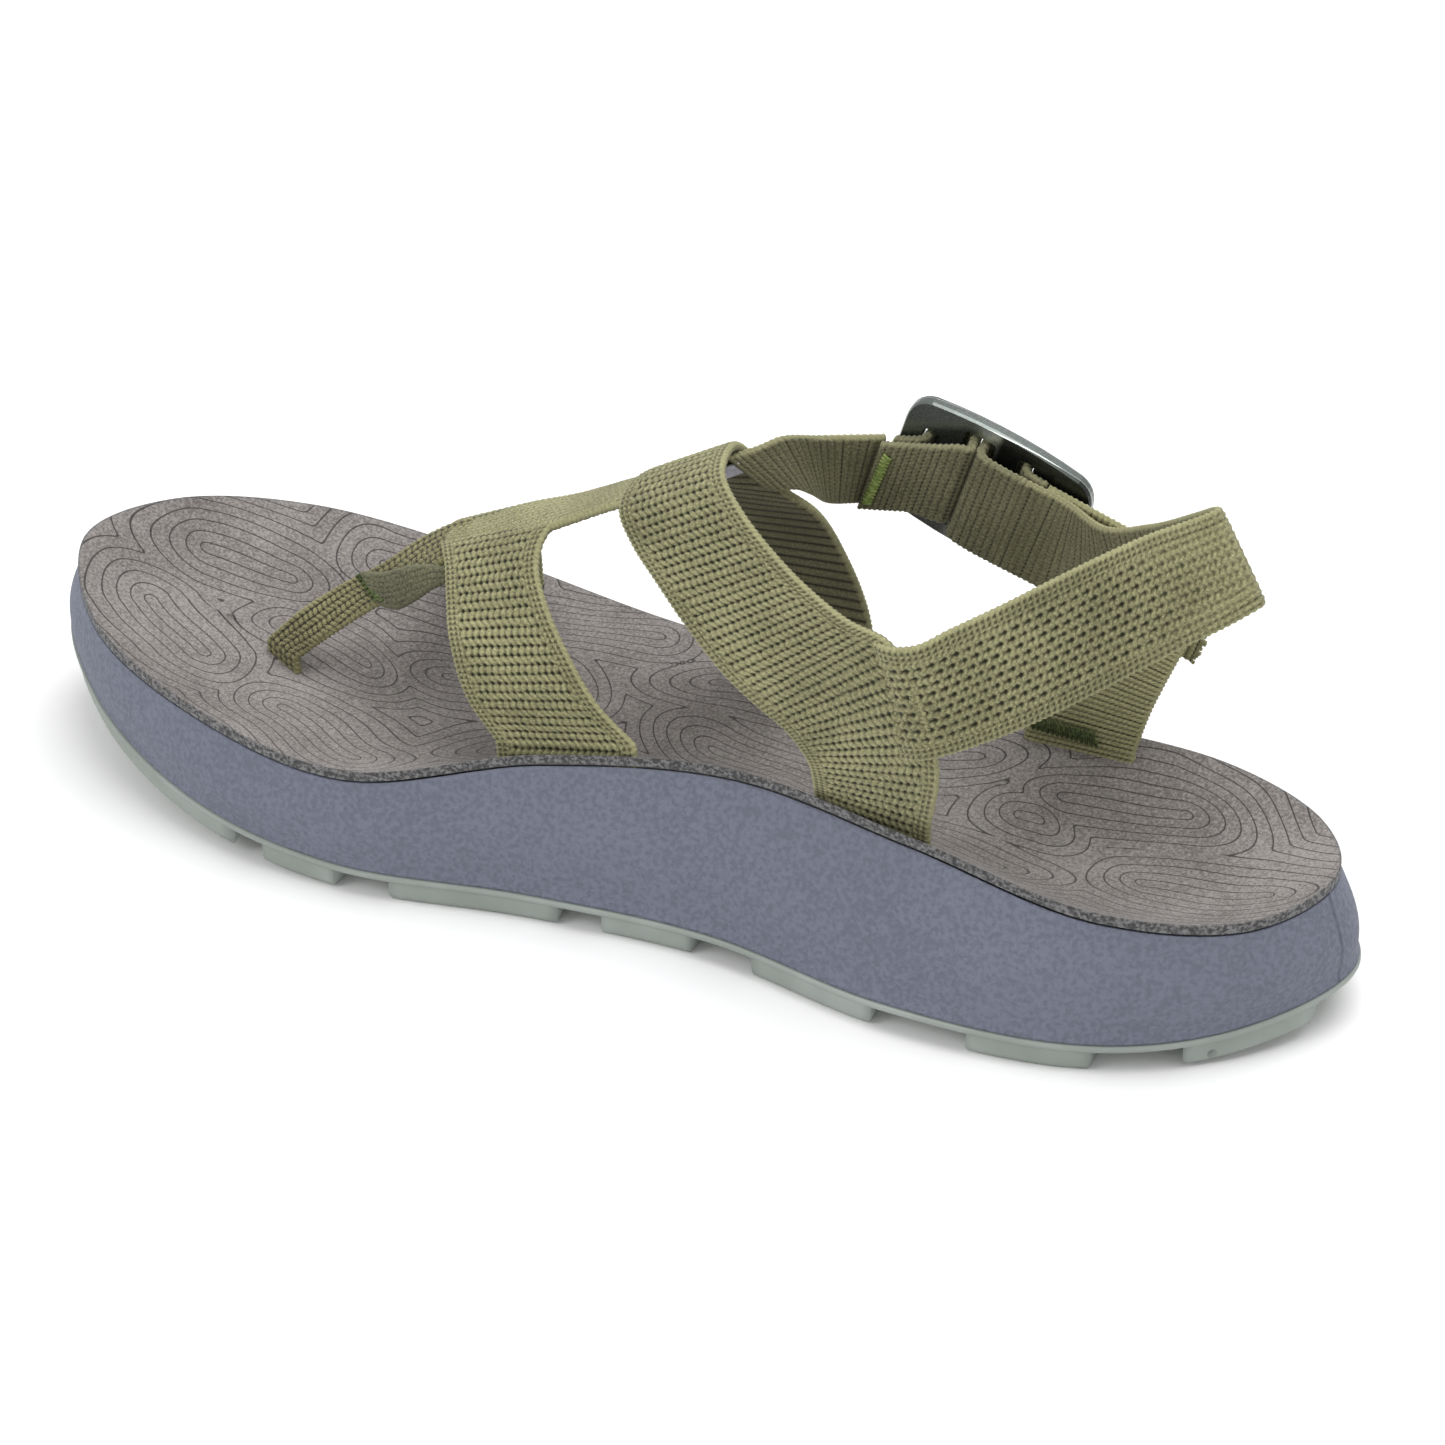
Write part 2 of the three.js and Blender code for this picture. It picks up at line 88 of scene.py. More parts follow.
# Rim of the foam wall, from the heel round the inner side to the toe and back round the outer side
RIM = [
    (-139.3, 0, 31), (-129, 21.5, 31), (-102.3, 34.3, 33.3), (-63.3, 31.7, 37.3), (-24.3, 29, 39.9),
    (14.7, 36.3, 36.4), (55, 46.2, 26.9), (90.7, 43, 29.8), (122.7, 30, 35.2), (138.7, 7.4, 39.6),
    (131, -16.5, 37.4), (107, -34.6, 32), (68.4, -42.8, 24.8), (24.4, -41.5, 20.6), (-26.3, -35.8, 22.6),
    (-68.3, -32.5, 27), (-107.3, -29.6, 29), (-130.3, -18.6, 29.4),
]
# Foot of the foam wall in plan, in the same order
FOOT = [
    (-144.6, -2.5), (-131, 20.7), (-101.3, 38.5), (-62.3, 42.6), (-22.7, 37.2), (16, 40.6),
    (57.2, 48.2), (93.7, 44.4), (126, 28.4), (144.6, 5.5), (136.5, -19), (110.3, -37.5),
    (70.4, -47.6), (24.1, -48.1), (-26.3, -42), (-69.3, -37.2), (-109.8, -34.2), (-133.8, -22.7),
]
# Height of the footbed's spine, from heel to toe
MIDDLE = [23.5, 23, 23, 23.5, 22.5, 20.4, 20, 22, 25.5, 28.5]


def spline(points, t, closed=False):
    """Points of a smooth centripetal curve through the given ones, for t from 0 to 1."""
    p = np.asarray(points, float)
    spans = len(p) if closed else len(p) - 1
    s = np.asarray(t, float) * spans
    k = np.clip(np.floor(s).astype(int), 0, spans - 1)
    w = (s - k)[:, None]
    if closed:
        a, b, c, d = (p[(k + o) % len(p)] for o in (-1, 0, 1, 2))
    else:
        longer = np.vstack([2 * p[0] - p[1], p, 2 * p[-1] - p[-2]])
        a, b, c, d = (longer[k + o] for o in range(4))
    lengths = (np.linalg.norm(y - x, axis=1, keepdims=True) for x, y in ((a, b), (b, c), (c, d)))
    h0, h1, h2 = (length ** 0.5 + 1e-9 for length in lengths)
    leaving = ((b - a) / h0 - (c - a) / (h0 + h1) + (c - b) / h1) * h1
    arriving = ((c - b) / h1 - (d - b) / (h1 + h2) + (d - c) / h2) * h1
    rise = c - b
    square = 3 * rise - 2 * leaving - arriving
    cube = leaving + arriving - 2 * rise
    return b + w * leaving + w**2 * square + w**3 * cube


def ramp(x, low, high):
    """A smooth rise from 0 at low to 1 at high."""
    t = np.clip((x - low) / (high - low), 0, 1)
    return t * t * (3 - 2 * t)


def unit(v):
    return v / np.maximum(np.linalg.norm(v, axis=-1, keepdims=True), 1e-9)


def wave(turns):
    return np.cos(2 * np.pi * turns)


def bell(x, width):
    return np.exp(-(x / width) ** 2)


# ---- mesh making -------------------------------------------------------------------------------

def add(name, data):
    thing = bpy.data.objects.new(name, data)
    bpy.context.scene.collection.objects.link(thing)
    return thing


def store(bm, mesh):
    """Writes the mesh with its faces pointing out and shaded smooth."""
    bmesh.ops.recalc_face_normals(bm, faces=bm.faces)
    for face in bm.faces:
        face.smooth = True
    bm.to_mesh(mesh)
    bm.free()


def grid_body(name, places, facts=None, weave=None):
    """A closed body from a grid wrapped round on itself: places[row, ring] in millimetres.

    facts are values for each point that the finishes read, and weave is a place on the cloth."""
    rows, ring = places.shape[:2]
    bm = bmesh.new()
    bmesh.ops.create_grid(bm, x_segments=ring - 1, y_segments=rows - 1, size=1)
    mesh = bpy.data.meshes.new(name)
    bm.to_mesh(mesh)
    bm.free()
    mesh.vertices.foreach_set("co", (places * MM).astype(np.float32).ravel())
    for label, values in (facts or {}).items():
        layer = mesh.attributes.new(label, "FLOAT", "POINT")
        spread = np.broadcast_to(values, (rows, ring))
        layer.data.foreach_set("value", spread.astype(np.float32).ravel())
    if weave is not None:
        corners = np.empty(len(mesh.loops), np.int32)
        mesh.loops.foreach_get("vertex_index", corners)
        uv = mesh.uv_layers.new(name="weave")
        uv.data.foreach_set("uv", (weave.reshape(-1, 2)[corners] * MM).astype(np.float32).ravel())
    close(mesh)
    return add(name, mesh)


def close(mesh):
    """Merges the seams and fills the ends."""
    bm = bmesh.new()
    bm.from_mesh(mesh)
    bmesh.ops.remove_doubles(bm, verts=bm.verts, dist=2e-6)
    bmesh.ops.dissolve_degenerate(bm, edges=bm.edges, dist=1e-7)
    bmesh.ops.holes_fill(bm, edges=[e for e in bm.edges if e.is_boundary], sides=0)
    store(bm, mesh)


def dress(piece, finish, body, slot, *nodes):
    """Finish, body, material slot (not used) and the nodes that the piece stands for."""
    piece.data.materials.clear()
    piece.data.materials.append(finish)
    if body:
        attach(piece, body)
    if nodes:
        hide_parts(*nodes)
    return piece


# ---- sole --------------------------------------------------------------------------------------

TURN = np.arange(AROUND + 1) / AROUND
RIM_LINE = spline(RIM, TURN % 1, closed=True)
FOOT_LINE = spline([(x, y, 0) for x, y in FOOT], TURN % 1, closed=True)
NEAR = np.minimum(TURN, 1 - TURN)
BETWEEN = (spline(RIM, NEAR, closed=True) + spline(RIM, (1 - NEAR) % 1, closed=True)) / 2
SPINE_HEIGHT = spline([(0, 0, z) for z in MIDDLE], np.minimum(NEAR * 2, 1))[:, 2]
SPINE_LINE = np.stack([BETWEEN[:, 0] * SPINE, BETWEEN[:, 1], SPINE_HEIGHT], axis=1)


def sole_base(x):
    """Height of the foam's underside, which rises at the toe and the heel."""
    toe = np.maximum(0, (x - TOE_START) / TOE_RUN) ** 2
    heel = np.maximum(0, (HEEL_START - x) / HEEL_RUN) ** 2
    return SOLE_BASE + TOE_RISE * toe + HEEL_RISE * heel


def dish(s, lift):
    """The dished footbed, from its rim at s = 0 to the spine at s = 1."""
    out = SPINE_LINE + (RIM_LINE - SPINE_LINE) * (1 - s)
    out[:, 2] = SPINE_LINE[:, 2] + (RIM_LINE[:, 2] - SPINE_LINE[:, 2]) * (1 - s) ** DISH + lift
    return out


def under(s, drop, inset=0.0):
    """The sole's underside at a drop below the foam, from its outline to the spine."""
    flat = FOOT_LINE - SPINE_LINE
    reach = np.linalg.norm(flat[:, :2], axis=1)
    out = SPINE_LINE + flat * ((1 - s) * (1 - inset / np.maximum(reach, inset + 0.1)))[:, None]
    out[:, 2] = sole_base(out[:, 0]) - drop
    return out


def wall(s, swell):
    """The foam wall from its rim at s = 0 to its foot at s = 1."""
    top, foot = dish(0, 0), under(0, 0, 0.4)
    out = top + (foot - top) * s
    away = unit((FOOT_LINE - SPINE_LINE) * (1, 1, 0))
    return out + away * swell * math.sin(math.pi * min(1, s * 1.1) ** 1.4) * (s < 1)


def midsole():
    rows = [dish(s, 0) for s in np.linspace(1, 0.02, 14)]
    rows += [dish(0.008, -0.1)]
    rows += [wall(s, WALL_SWELL) for s in (0.01, 0.03, *np.linspace(0.08, 0.96, 16), 0.985)]
    rows += [under(0.008, 0), *[under(s, 0, 0.4) for s in np.linspace(0.05, 1, 8)]]
    return dress(grid_body("midsole", np.stack(rows)), FOAM, "sole", "foam", "midsole")


# Middles of the closed loops printed on the footbed: two ends each, in plan
LOOPS = [
    ((122, 12), (104, 24)), ((120, -8), (98, -12)), ((96, 4), (76, 2)), ((78, 28), (54, 34)),
    ((84, -28), (66, -34)), ((56, -4), (36, -10)), ((42, -30), (22, -32)), ((34, 20), (12, 26)),
    ((2, -20), (-22, -26)), ((-6, 2), (-30, 6)), ((-40, -14), (-62, -18)), ((-50, 14), (-76, 20)),
    ((-82, -8), (-104, -14)), ((-100, 12), (-126, 4)), ((-72, 0), (-76, 0)),
]
LOOP_STRETCH = 1.35
LOOP_MELT = 0.35              # how softly one loop's lines go over into the next one's


def contour(x, y):
    """Distance to the nearest loop's middle, in millimetres, with slow waves in it."""
    x = x + 3.0 * np.sin(y / 11 + 0.6) + 1.6 * np.sin(y / 4.7 + x / 13)
    y = y + 2.6 * np.sin(x / 15 + 1.1) + 1.2 * np.sin(x / 6.3 - y / 9)
    fields = []
    for (ax, ay), (bx, by) in LOOPS:
        dx, dy = bx - ax, by - ay
        t = np.clip(((x - ax) * dx + (y - ay) * dy) / (dx * dx + dy * dy), 0, 1)
        fields.append(np.hypot(x - ax - t * dx, (y - ay - t * dy) * LOOP_STRETCH))
    return -np.log(sum(np.exp(-f / LOOP_MELT) for f in fields) + 1e-300) * LOOP_MELT


def footbed_cover():
    rows = [dish(s, SHEET_GAP) for s in np.linspace(1, 0.03, 6)]
    rows += [dish(0.0, lift) for lift in (SHEET_GAP, 0.9, 1.5, 2.0, 2.35)]
    rows += [dish(0.007, COVER - 0.07), dish(0.016, COVER)]
    felt = [0.0] * 6 + [1.0] * 5 + [0.6, 0.0]
    top = [dish(s, COVER) for s in np.linspace(0.03, 1, 60)]
    places = np.stack(rows + top)
    facts = {
        "edge": np.array(felt + [0.0] * len(top))[:, None],
        "contour": contour(places[..., 0], places[..., 1]),
    }
    return dress(grid_body("footbed_cover", places, facts), SUEDE, "sole", "suede", "footbed_cover")


# Cross grooves between the lugs under the rubber sheet: middle, width and slant in degrees
GROOVES = [(84.5, 7, 8), (46.5, 12, -6), (8.2, 9.5, 4), (-28, 14, -4), (-68, 20, 3), (-112, 16, 0)]
LUG_REACH = 139.5             # where the first lug starts and the last one ends
MIDDLE_GROOVE = (-3.5, 5.5)   # its two sides
LUG_INSET = 1.0
LUG_CUTS = 11
SIPE = 0.55                   # depth of the small cut across each lug


def outline_y(x, side):
    """How far the lugs reach to one side, at a place along the sole."""
    edge = under(0, SOLE_BASE, LUG_INSET)
    half = edge[:AROUND // 2 + 1] if side > 0 else edge[AROUND // 2:][::-1]
    return np.interp(x, half[:, 0], half[:, 1])


def lug(near, far, side):
    """One lug as a mesh: a cube cut fine, shaped to its place, and narrower below.

    near and far are its ends: place along the sole's middle, and slant."""
    bm = bmesh.new()
    bmesh.ops.create_cube(bm, size=2)
    bmesh.ops.subdivide_edges(bm, edges=bm.edges, cuts=LUG_CUTS, use_grid_fill=True)
    start = MIDDLE_GROOVE[1] if side > 0 else MIDDLE_GROOVE[0]
    for v in bm.verts:
        a, b, c = v.co
        low = max(0, -c)
        a, b = a * (1 - 0.03 * low**4), b * (1 - 0.02 * low**4)
        share = (b + 1) / 2
        x = (near[0] + far[0]) / 2
        for _ in range(3):
            y = start + (outline_y(x, side) - start) * share
            x0, x1 = near[0] + near[1] * y, far[0] + far[1] * y
            x = x0 + (x1 - x0) * (a + 1) / 2
        top, base = sole_base(x) - SHEET + 0.3, sole_base(x) - SOLE_BASE
        sipe = SIPE * bell(a, 0.13) * (low > 0.9) * (1 - ramp(abs(b), 0.6, 1.0))
        v.co = Vector((x, y, base + (top - base) * (c + 1) / 2 + sipe)) * MM
    mesh = bpy.data.meshes.new("lug")
    bm.to_mesh(mesh)
    bm.free()
    return mesh


def outsole():
    rows = [under(s, SHEET_GAP) for s in np.linspace(1, 0.03, 8)]
    rows += [under(0.004, SHEET_GAP + 0.1), under(0, SHEET_GAP + 0.5)]
    rows += [under(0, SHEET - 0.6), under(0.006, SHEET)]
    rows += [under(s, SHEET) for s in np.linspace(0.03, 1, 8)]
    piece = grid_body("outsole", np.stack(rows))
    bm = bmesh.new()
    bm.from_mesh(piece.data)
    edges = [(LUG_REACH, 0.0)]
    for x, wide, turn in GROOVES:
        slant = -math.tan(math.radians(turn))
        edges += [(x + wide / 2, slant), (x - wide / 2, slant)]
    edges += [(-LUG_REACH, 0.0)]
    for near, far in zip(edges[0::2], edges[1::2]):
        for side in (1, -1):
            bm.from_mesh(lug(near, far, side))
    store(bm, piece.data)
    return dress(piece, RUBBER, "sole", "rubber", "outsole")


# ---- knit and webbing --------------------------------------------------------------------------
# A weave takes places along and across a strap and its half width, in millimetres. It gives a height
# in millimetres, and how deep the place lies between the yarns, from 0 to 1, which becomes painted shade.

def chance(line, column):
    """A steady share for each stitch, from 0 to 1, that looks unordered."""
    return np.mod(np.sin(line * 12.99 + column * 78.23) * 43758.5, 1)


def dense_columns(u, inset):
    """Columns of small V stitches along the strap."""
    column = inset / 1.15
    side = np.abs(column - np.floor(column) - 0.5) * 2
    wale = np.cos(np.pi * side)
    loop = wave(u / BEAD + 0.45 * side)
    return 0.09 * wale + 0.10 * loop - 0.06, 0.40 * (1 - wale) / 2 + 0.48 * (1 - loop) / 2


def open_knit(u, v, half):
    """Cross rows of beaded stitches, with small staggered gaps between the rows."""
    line = np.round(u / ROW)
    column = v / COLUMN + 0.5 * np.mod(line, 2)
    stitch = np.round(column)
    luck = chance(line, stitch)
    off = u - line * ROW + 0.14 * (luck - 0.5)
    side = (column - stitch) * COLUMN
    groove = bell(off, 0.32)
    gap = bell(off, 0.30 + 0.12 * luck) * bell(side, 0.20 + 0.12 * luck)
    row = np.floor(u / ROW)
    part = u / ROW - row
    lean = 0.5 * (np.mod(row, 2) + (1 - 2 * np.mod(row, 2)) * part)
    bead = (1 - wave(v / COLUMN + lean)) / 2
    ridge = np.sin(np.pi * part) ** 0.6
    height = 0.36 * ridge * (0.4 + 0.6 * bead) - 0.20 - 0.40 * gap
    pit = np.clip(0.60 * groove + (0.4 + 0.4 * luck) * gap + 0.54 * (1 - bead) * ridge, 0, 1)
    return blend_edge(u, v, half, height, pit)


def lattice_knit(u, v, half, fade=0.0):
    """Gaps set like bricks between V stitches that run along the strap; they close where it fades."""
    wide, long = 1.9, 2.4
    column = np.round(v / wide)
    place = u / long + 0.5 * np.mod(column, 2)
    stitch = np.round(place)
    luck = chance(column, stitch)
    side = v - column * wide
    off = (place - stitch) * long
    gap = bell(off, 0.32 + 0.16 * luck) * bell(side, 0.28 + 0.1 * luck) * (1 - fade)
    vee = wave(2 * u / long + 1.2 * np.abs(side) / wide)
    wale = wave(v / wide)
    height = 0.13 * vee - 0.08 * wale - 0.40 * gap
    pit = np.clip(0.23 * (1 - vee) + 0.13 * (1 + wale) * (1 - 0.4 * fade) + 0.85 * gap, 0, 1)
    return blend_edge(u, v, half, height, pit)


def slant_knit(u, v, half):
    """Rows of slanted stitches across the strap, like ropes side by side."""
    wide, long = 1.6, 1.1
    line = np.floor(u / wide)
    part = u / wide - line
    rope = np.sin(np.pi * part)
    bead = (1 - wave(v / long + 0.6 * part + 0.31 * line)) / 2
    height = 0.30 * rope**0.7 * (0.55 + 0.45 * bead) - 0.18
    pit = 0.9 * (1 - rope) ** 2 * (1.15 - 0.6 * bead) + 0.34 * (1 - bead) * rope
    return height, np.clip(pit, 0, 1)


def blend_edge(u, v, half, height, pit):
    """The weave given, with dense columns along both edges."""
    inset = half - np.abs(v)
    edge_height, edge_pit = dense_columns(u, inset)
    w = ramp(inset, DENSE - 0.6, DENSE + 0.4)
    return edge_height + (height - edge_height) * w, edge_pit + (pit - edge_pit) * w


def cross_ribs(u, v, half):
    """Bold ribs across the strap, of twisted yarn."""
    wide = 2.6
    rib = np.abs(np.sin(np.pi * u / wide))
    twist = wave(v + 0.4 * np.floor(u / wide) + 0.35 * rib)
    height = 0.28 * rib**0.7 - 0.16 + 0.05 * twist
    return height, np.clip(0.85 * (1 - rib) ** 1.6 + 0.14 * (1 - twist), 0, 1)


def close_knit(u, v, half):
    """Small staggered stitches in columns along the strap."""
    wide, long = 1.25, 1.5
    column = np.round(v / wide)
    side = (v - column * wide) / wide
    along = u / long + 0.5 * np.mod(column, 2)
    off = along - np.round(along)
    rib = bell(np.abs(side) - 0.5, 0.16)
    gap = bell(off, 0.2)
    return -0.12 * rib - 0.10 * gap, np.clip(0.42 * rib + 0.38 * gap, 0, 1)


def herringbone(u, v, half):
    """Coarse columns of slanted stitches that lean one way and then the other."""
    wide, long = 1.75, 1.45
    column = np.floor((v + half) / wide)
    side = (v + half) / wide - column - 0.5
    lean = np.where(np.mod(column, 2) > 0, 1.0, -1.0)
    along = u / long + 0.55 * lean * side
    off = along - np.round(along)
    stitch = np.cos(np.pi * side) ** 0.6 * np.cos(np.pi * off) ** 0.7
    return 0.36 * stitch - 0.22, np.clip(1.05 * (1 - stitch) ** 1.35, 0, 1)


def plain_ribs(u, v, half):
    """Woven webbing: beaded ribs across it."""
    wide, long = 1.25, 0.95
    rib = np.abs(np.sin(np.pi * u / wide))
    yarn = wave(v / long + 0.5 * np.floor(u / wide) + 0.25 * rib)
    height = 0.22 * rib - 0.14 + 0.07 * yarn * rib
    return height, np.clip(0.75 * (1 - rib) ** 1.3 + 0.17 * (1 - yarn), 0, 1)


def round_rim(middle, r, first):
    """Half a circle of a strap's cross section, from an angle in degrees."""
    points = []
    for degrees in np.linspace(first, first + 180, RIM_POINTS + 2)[1:-1]:
        c, n = math.cos(math.radians(degrees)), math.sin(math.radians(degrees))
        points.append((middle + r * c, r * n, c, n, (1 - n) / 2))
    return points


def cross_section(half, thick, outer_count, inner_count):
    """Once round a strap: place across it, place through it, outward direction, and 1 on the inner face."""
    r = thick / 2
    flat = half - r
    points = [(s * flat, r, 0, 1, 0) for s in np.linspace(1, -1, outer_count)]
    points += round_rim(-flat, r, 90)
    points += [(s * flat, -r, 0, -1, 1) for s in np.linspace(-1, 1, inner_count)]
    points += round_rim(flat, r, -90)
    points.append(points[0])
    return np.array(points, float)


def strap(name, first, second, outer=1, face=open_knit, back=cross_ribs, thick=WEB, start=None, end=None,
          lift=0.0, sink=(0, 0), crown=0.0, beads=0.16, step=STITCH_STEP, across=0.38):
    """A strap between two edge lines, woven on both faces.

    first and second are points of its smooth edges, and start and end are straight ends beyond them.
    outer is the side its face is on. lift raises it, crown bows it up, and sink lowers its two ends
    into the pieces they join. beads is how far its rims are beaded. step and across set how fine it is."""
    t = np.linspace(0, 1, ROUTE_STEPS)
    edges = []
    for k, points in enumerate((first, second)):
        line = spline(points, t)
        if start is not None:
            line = np.vstack([start[k], line])
        if end is not None:
            line = np.vstack([line, end[k]])
        edges.append(line)
    middle = (edges[0] + edges[1]) / 2
    run = np.concatenate([[0], np.cumsum(np.linalg.norm(np.diff(middle, axis=0), axis=1))])
    rows = max(6, int(run[-1] / step))
    u = np.linspace(0, run[-1], rows)
    a, b = (np.stack([np.interp(u, run, axis) for axis in line.T], axis=1) for line in edges)
    centre, wide = (a + b) / 2, unit(b - a)
    half = np.linalg.norm(b - a, axis=1)[:, None] / 2
    along = unit(np.gradient(centre, axis=0))
    out = unit(np.cross(along, wide)) * outer
    for _ in range(TWIST_PASSES):
        out[1:-1] = unit(out[:-2] + 2 * out[1:-1] + out[2:])
    count = int(2 * half.mean() / across)
    inner_count = max(8, int(count * 0.7))
    sections = np.stack([cross_section(h, thick, count, inner_count) for h in half[:, 0]])
    s, n, ds, dn, inside = (sections[..., k] for k in range(5))
    u2, half2 = np.broadcast_to(u[:, None], s.shape), np.broadcast_to(half, s.shape)
    front_height, front_pit = face(u2, s, half2)
    back_height, back_pit = back(u2, s, half2)
    height = front_height + (back_height - front_height) * inside
    pit = front_pit + (back_pit - front_pit) * inside
    rim = np.abs(ds)
    bead = np.cos(2 * np.pi * u2 / BEAD + np.pi * (s > 0))
    height = height * (1 - rim) + beads * bead * rim
    # On the rims: painted shade between the beads.
    pit = pit * (1 - rim) + 0.3 * (1 - bead) / 2 * rim
    level = lift + crown * (1 - (s / half2) ** 2)
    for depth, from_end in zip(sink, (u2, run[-1] - u2)):
        level = level - depth * (1 - ramp(from_end, 0, SINK_RUN))
    places = (centre[:, None] + wide[:, None] * (s + ds * height)[..., None]
              + out[:, None] * (n + dn * height + level)[..., None])
    facts = {"pit": pit, "inside": inside, "rim": rim}
    return grid_body(name, places, facts, np.stack([u2, s + 100 * (inside > 0.5)], axis=-1))


def thread(name, path, radius, sides=7, steps=6):
    """A yarn along a smooth path."""
    t = np.linspace(0, 1, steps * (len(path) - 1) + 1)
    line = spline(path, t)
    along = unit(np.gradient(line, axis=0))
    side = unit(np.cross(along, np.array([0.3, 0.2, 0.93])))
    up = np.cross(side, along)
    angle = np.linspace(0, 2 * np.pi, sides + 1)[None, :, None]
    places = line[:, None] + radius * (side[:, None] * np.cos(angle) + up[:, None] * np.sin(angle))
    return grid_body(name, places)


# Buckle's middle, and its directions: along the strap to the heel, out from the foot, and up
BUCKLE_AT = np.array([-50.2, -37, 76.8])
TO_HEEL = unit(np.array([-0.95, 0, -0.31]))
OUT = unit(np.array([0, -1, 0.14]))
UP = unit(np.cross(TO_HEEL, OUT))

# ---- finishes ----------------------------------------------------------------------------------

def tint(red, green, blue):
    """A colour as a painter reads it, 0 to 255, in the shader's own light units."""
    shares = (level / 255 for level in (red, green, blue))
    light = (c / 12.92 if c <= 0.04045 else ((c + 0.055) / 1.055) ** 2.4 for c in shares)
    return (*light, 1)


SEAM_Y = 0.0035               # place of the mould's seam across the sole, in metres
SEAM_X = (-0.139, -0.136)     # where the seam begins to show, in metres
LINE_GAP = 3.5                # between the footbed's printed lines, in millimetres


class Finish:
    """A material with short ways to add nodes."""

    def __init__(self, name, roughness, metallic=0.0, sheen=0.0):
        self.material = bpy.data.materials.new(name)
        self.material.use_nodes = True
        self.nodes, self.links = self.material.node_tree.nodes, self.material.node_tree.links
        self.shader = self.nodes["Principled BSDF"]
        self.shader.inputs["Roughness"].default_value = roughness
        self.shader.inputs["Metallic"].default_value = metallic
        self.shader.inputs["Sheen Weight"].default_value = sheen
        self.shader.inputs["Specular IOR Level"].default_value = 0.3

    def put(self, socket, value):
        if isinstance(value, bpy.types.NodeSocket):
            self.links.new(value, socket)
        else:
            socket.default_value = value

    def math(self, kind, a, b=0.0):
        node = self.nodes.new("ShaderNodeMath")
        node.operation = kind
        self.put(node.inputs[0], a)
        self.put(node.inputs[1], b)
        return node.outputs[0]

    def add(self, a, b, share):
        """a, and a share of b."""
        return self.math("ADD", a, self.math("MULTIPLY", b, share))

    def apart(self, a, b):
        return self.math("ABSOLUTE", self.math("SUBTRACT", a, b))

    def fact(self, label):
        node = self.nodes.new("ShaderNodeAttribute")
        node.attribute_name = label
        return node.outputs["Fac"]

    def place(self, scale=(1, 1, 1), woven=False, turn=0.0):
        coordinate = self.nodes.new("ShaderNodeUVMap" if woven else "ShaderNodeTexCoord")
        if woven:
            coordinate.uv_map = "weave"
        mapping = self.nodes.new("ShaderNodeMapping")
        mapping.inputs["Scale"].default_value = scale
        mapping.inputs["Rotation"].default_value = (0, 0, math.radians(turn))
        self.links.new(coordinate.outputs["UV" if woven else "Object"], mapping.inputs[0])
        return mapping.outputs[0]

    def noise(self, scale, where, detail=3.0, roughness=0.6):
        node = self.nodes.new("ShaderNodeTexNoise")
        node.inputs["Scale"].default_value = scale
        node.inputs["Detail"].default_value = detail
        node.inputs["Roughness"].default_value = roughness
        self.links.new(where, node.inputs["Vector"])
        return node.outputs["Fac"]

    def cells(self, scale, where):
        node = self.nodes.new("ShaderNodeTexVoronoi")
        node.inputs["Scale"].default_value = scale
        self.links.new(where, node.inputs["Vector"])
        return node.outputs["Distance"]

    def between(self, value, low, high, out_low=0.0, out_high=1.0):
        """A smooth step from one level to another."""
        node = self.nodes.new("ShaderNodeMapRange")
        node.interpolation_type = "SMOOTHSTEP"
        self.put(node.inputs["Value"], value)
        limits = {"From Min": low, "From Max": high, "To Min": out_low, "To Max": out_high}
        for label, amount in limits.items():
            node.inputs[label].default_value = amount
        return node.outputs["Result"]

    def mix(self, share, a, b):
        node = self.nodes.new("ShaderNodeMix")
        node.data_type = "RGBA"
        self.put(node.inputs["Factor"], share)
        self.put(node.inputs["A"], a)
        self.put(node.inputs["B"], b)
        return node.outputs["Result"]

    def bump(self, height, strength, distance):
        node = self.nodes.new("ShaderNodeBump")
        node.inputs["Strength"].default_value = strength
        node.inputs["Distance"].default_value = distance
        self.links.new(height, node.inputs["Height"])
        self.links.new(node.outputs["Normal"], self.shader.inputs["Normal"])

    def colour(self, value):
        self.put(self.shader.inputs["Base Color"], value)
        return self.material


def knit_finish(name, light, shade, gap, inner_light, inner_shade):
    """Yarn: lighter and darker strands, gaps in painted shade, an inner face in its own colours, and a twist
    in each strand.
    """
    f = Finish(name, 0.92, sheen=0.12)
    woven = f.place((1000, 1000, 1000), woven=True)
    strands = f.noise(1.7, woven, 4, 0.7)
    tone = f.noise(0.05, woven, 2)
    share = f.between(f.add(f.math("MULTIPLY", tone, 0.3), strands, 0.85), 0.42, 0.74)
    outer = f.mix(share, shade, light)
    inner = f.mix(share, inner_shade, inner_light)
    # The inner face takes its own pair of colours: darker as painted shade on the knit and the fold, lighter
    # as painted light on the heel webbing.
    yarn = f.mix(f.fact("inside"), outer, inner)
    # Painted highlight: the rounded rims are lightened towards the light strand colour.
    yarn = f.mix(f.math("MULTIPLY", f.fact("rim"), 0.55), yarn, light)
    # Painted shade: places that lie deep between the yarns go towards the dark gap colour.
    depth = f.between(f.fact("pit"), 0.12, 0.95)
    f.colour(f.mix(depth, yarn, gap))
    twist = f.nodes.new("ShaderNodeTexWave")
    twist.inputs["Scale"].default_value = 0.55
    twist.inputs["Distortion"].default_value = 3.0
    twist.inputs["Detail Scale"].default_value = 1.5
    f.links.new(f.place((1000, 1000, 1000), woven=True, turn=35), twist.inputs["Vector"])
    f.bump(f.add(strands, twist.outputs["Fac"], 0.5), 0.6, 0.0002)
    return f.material


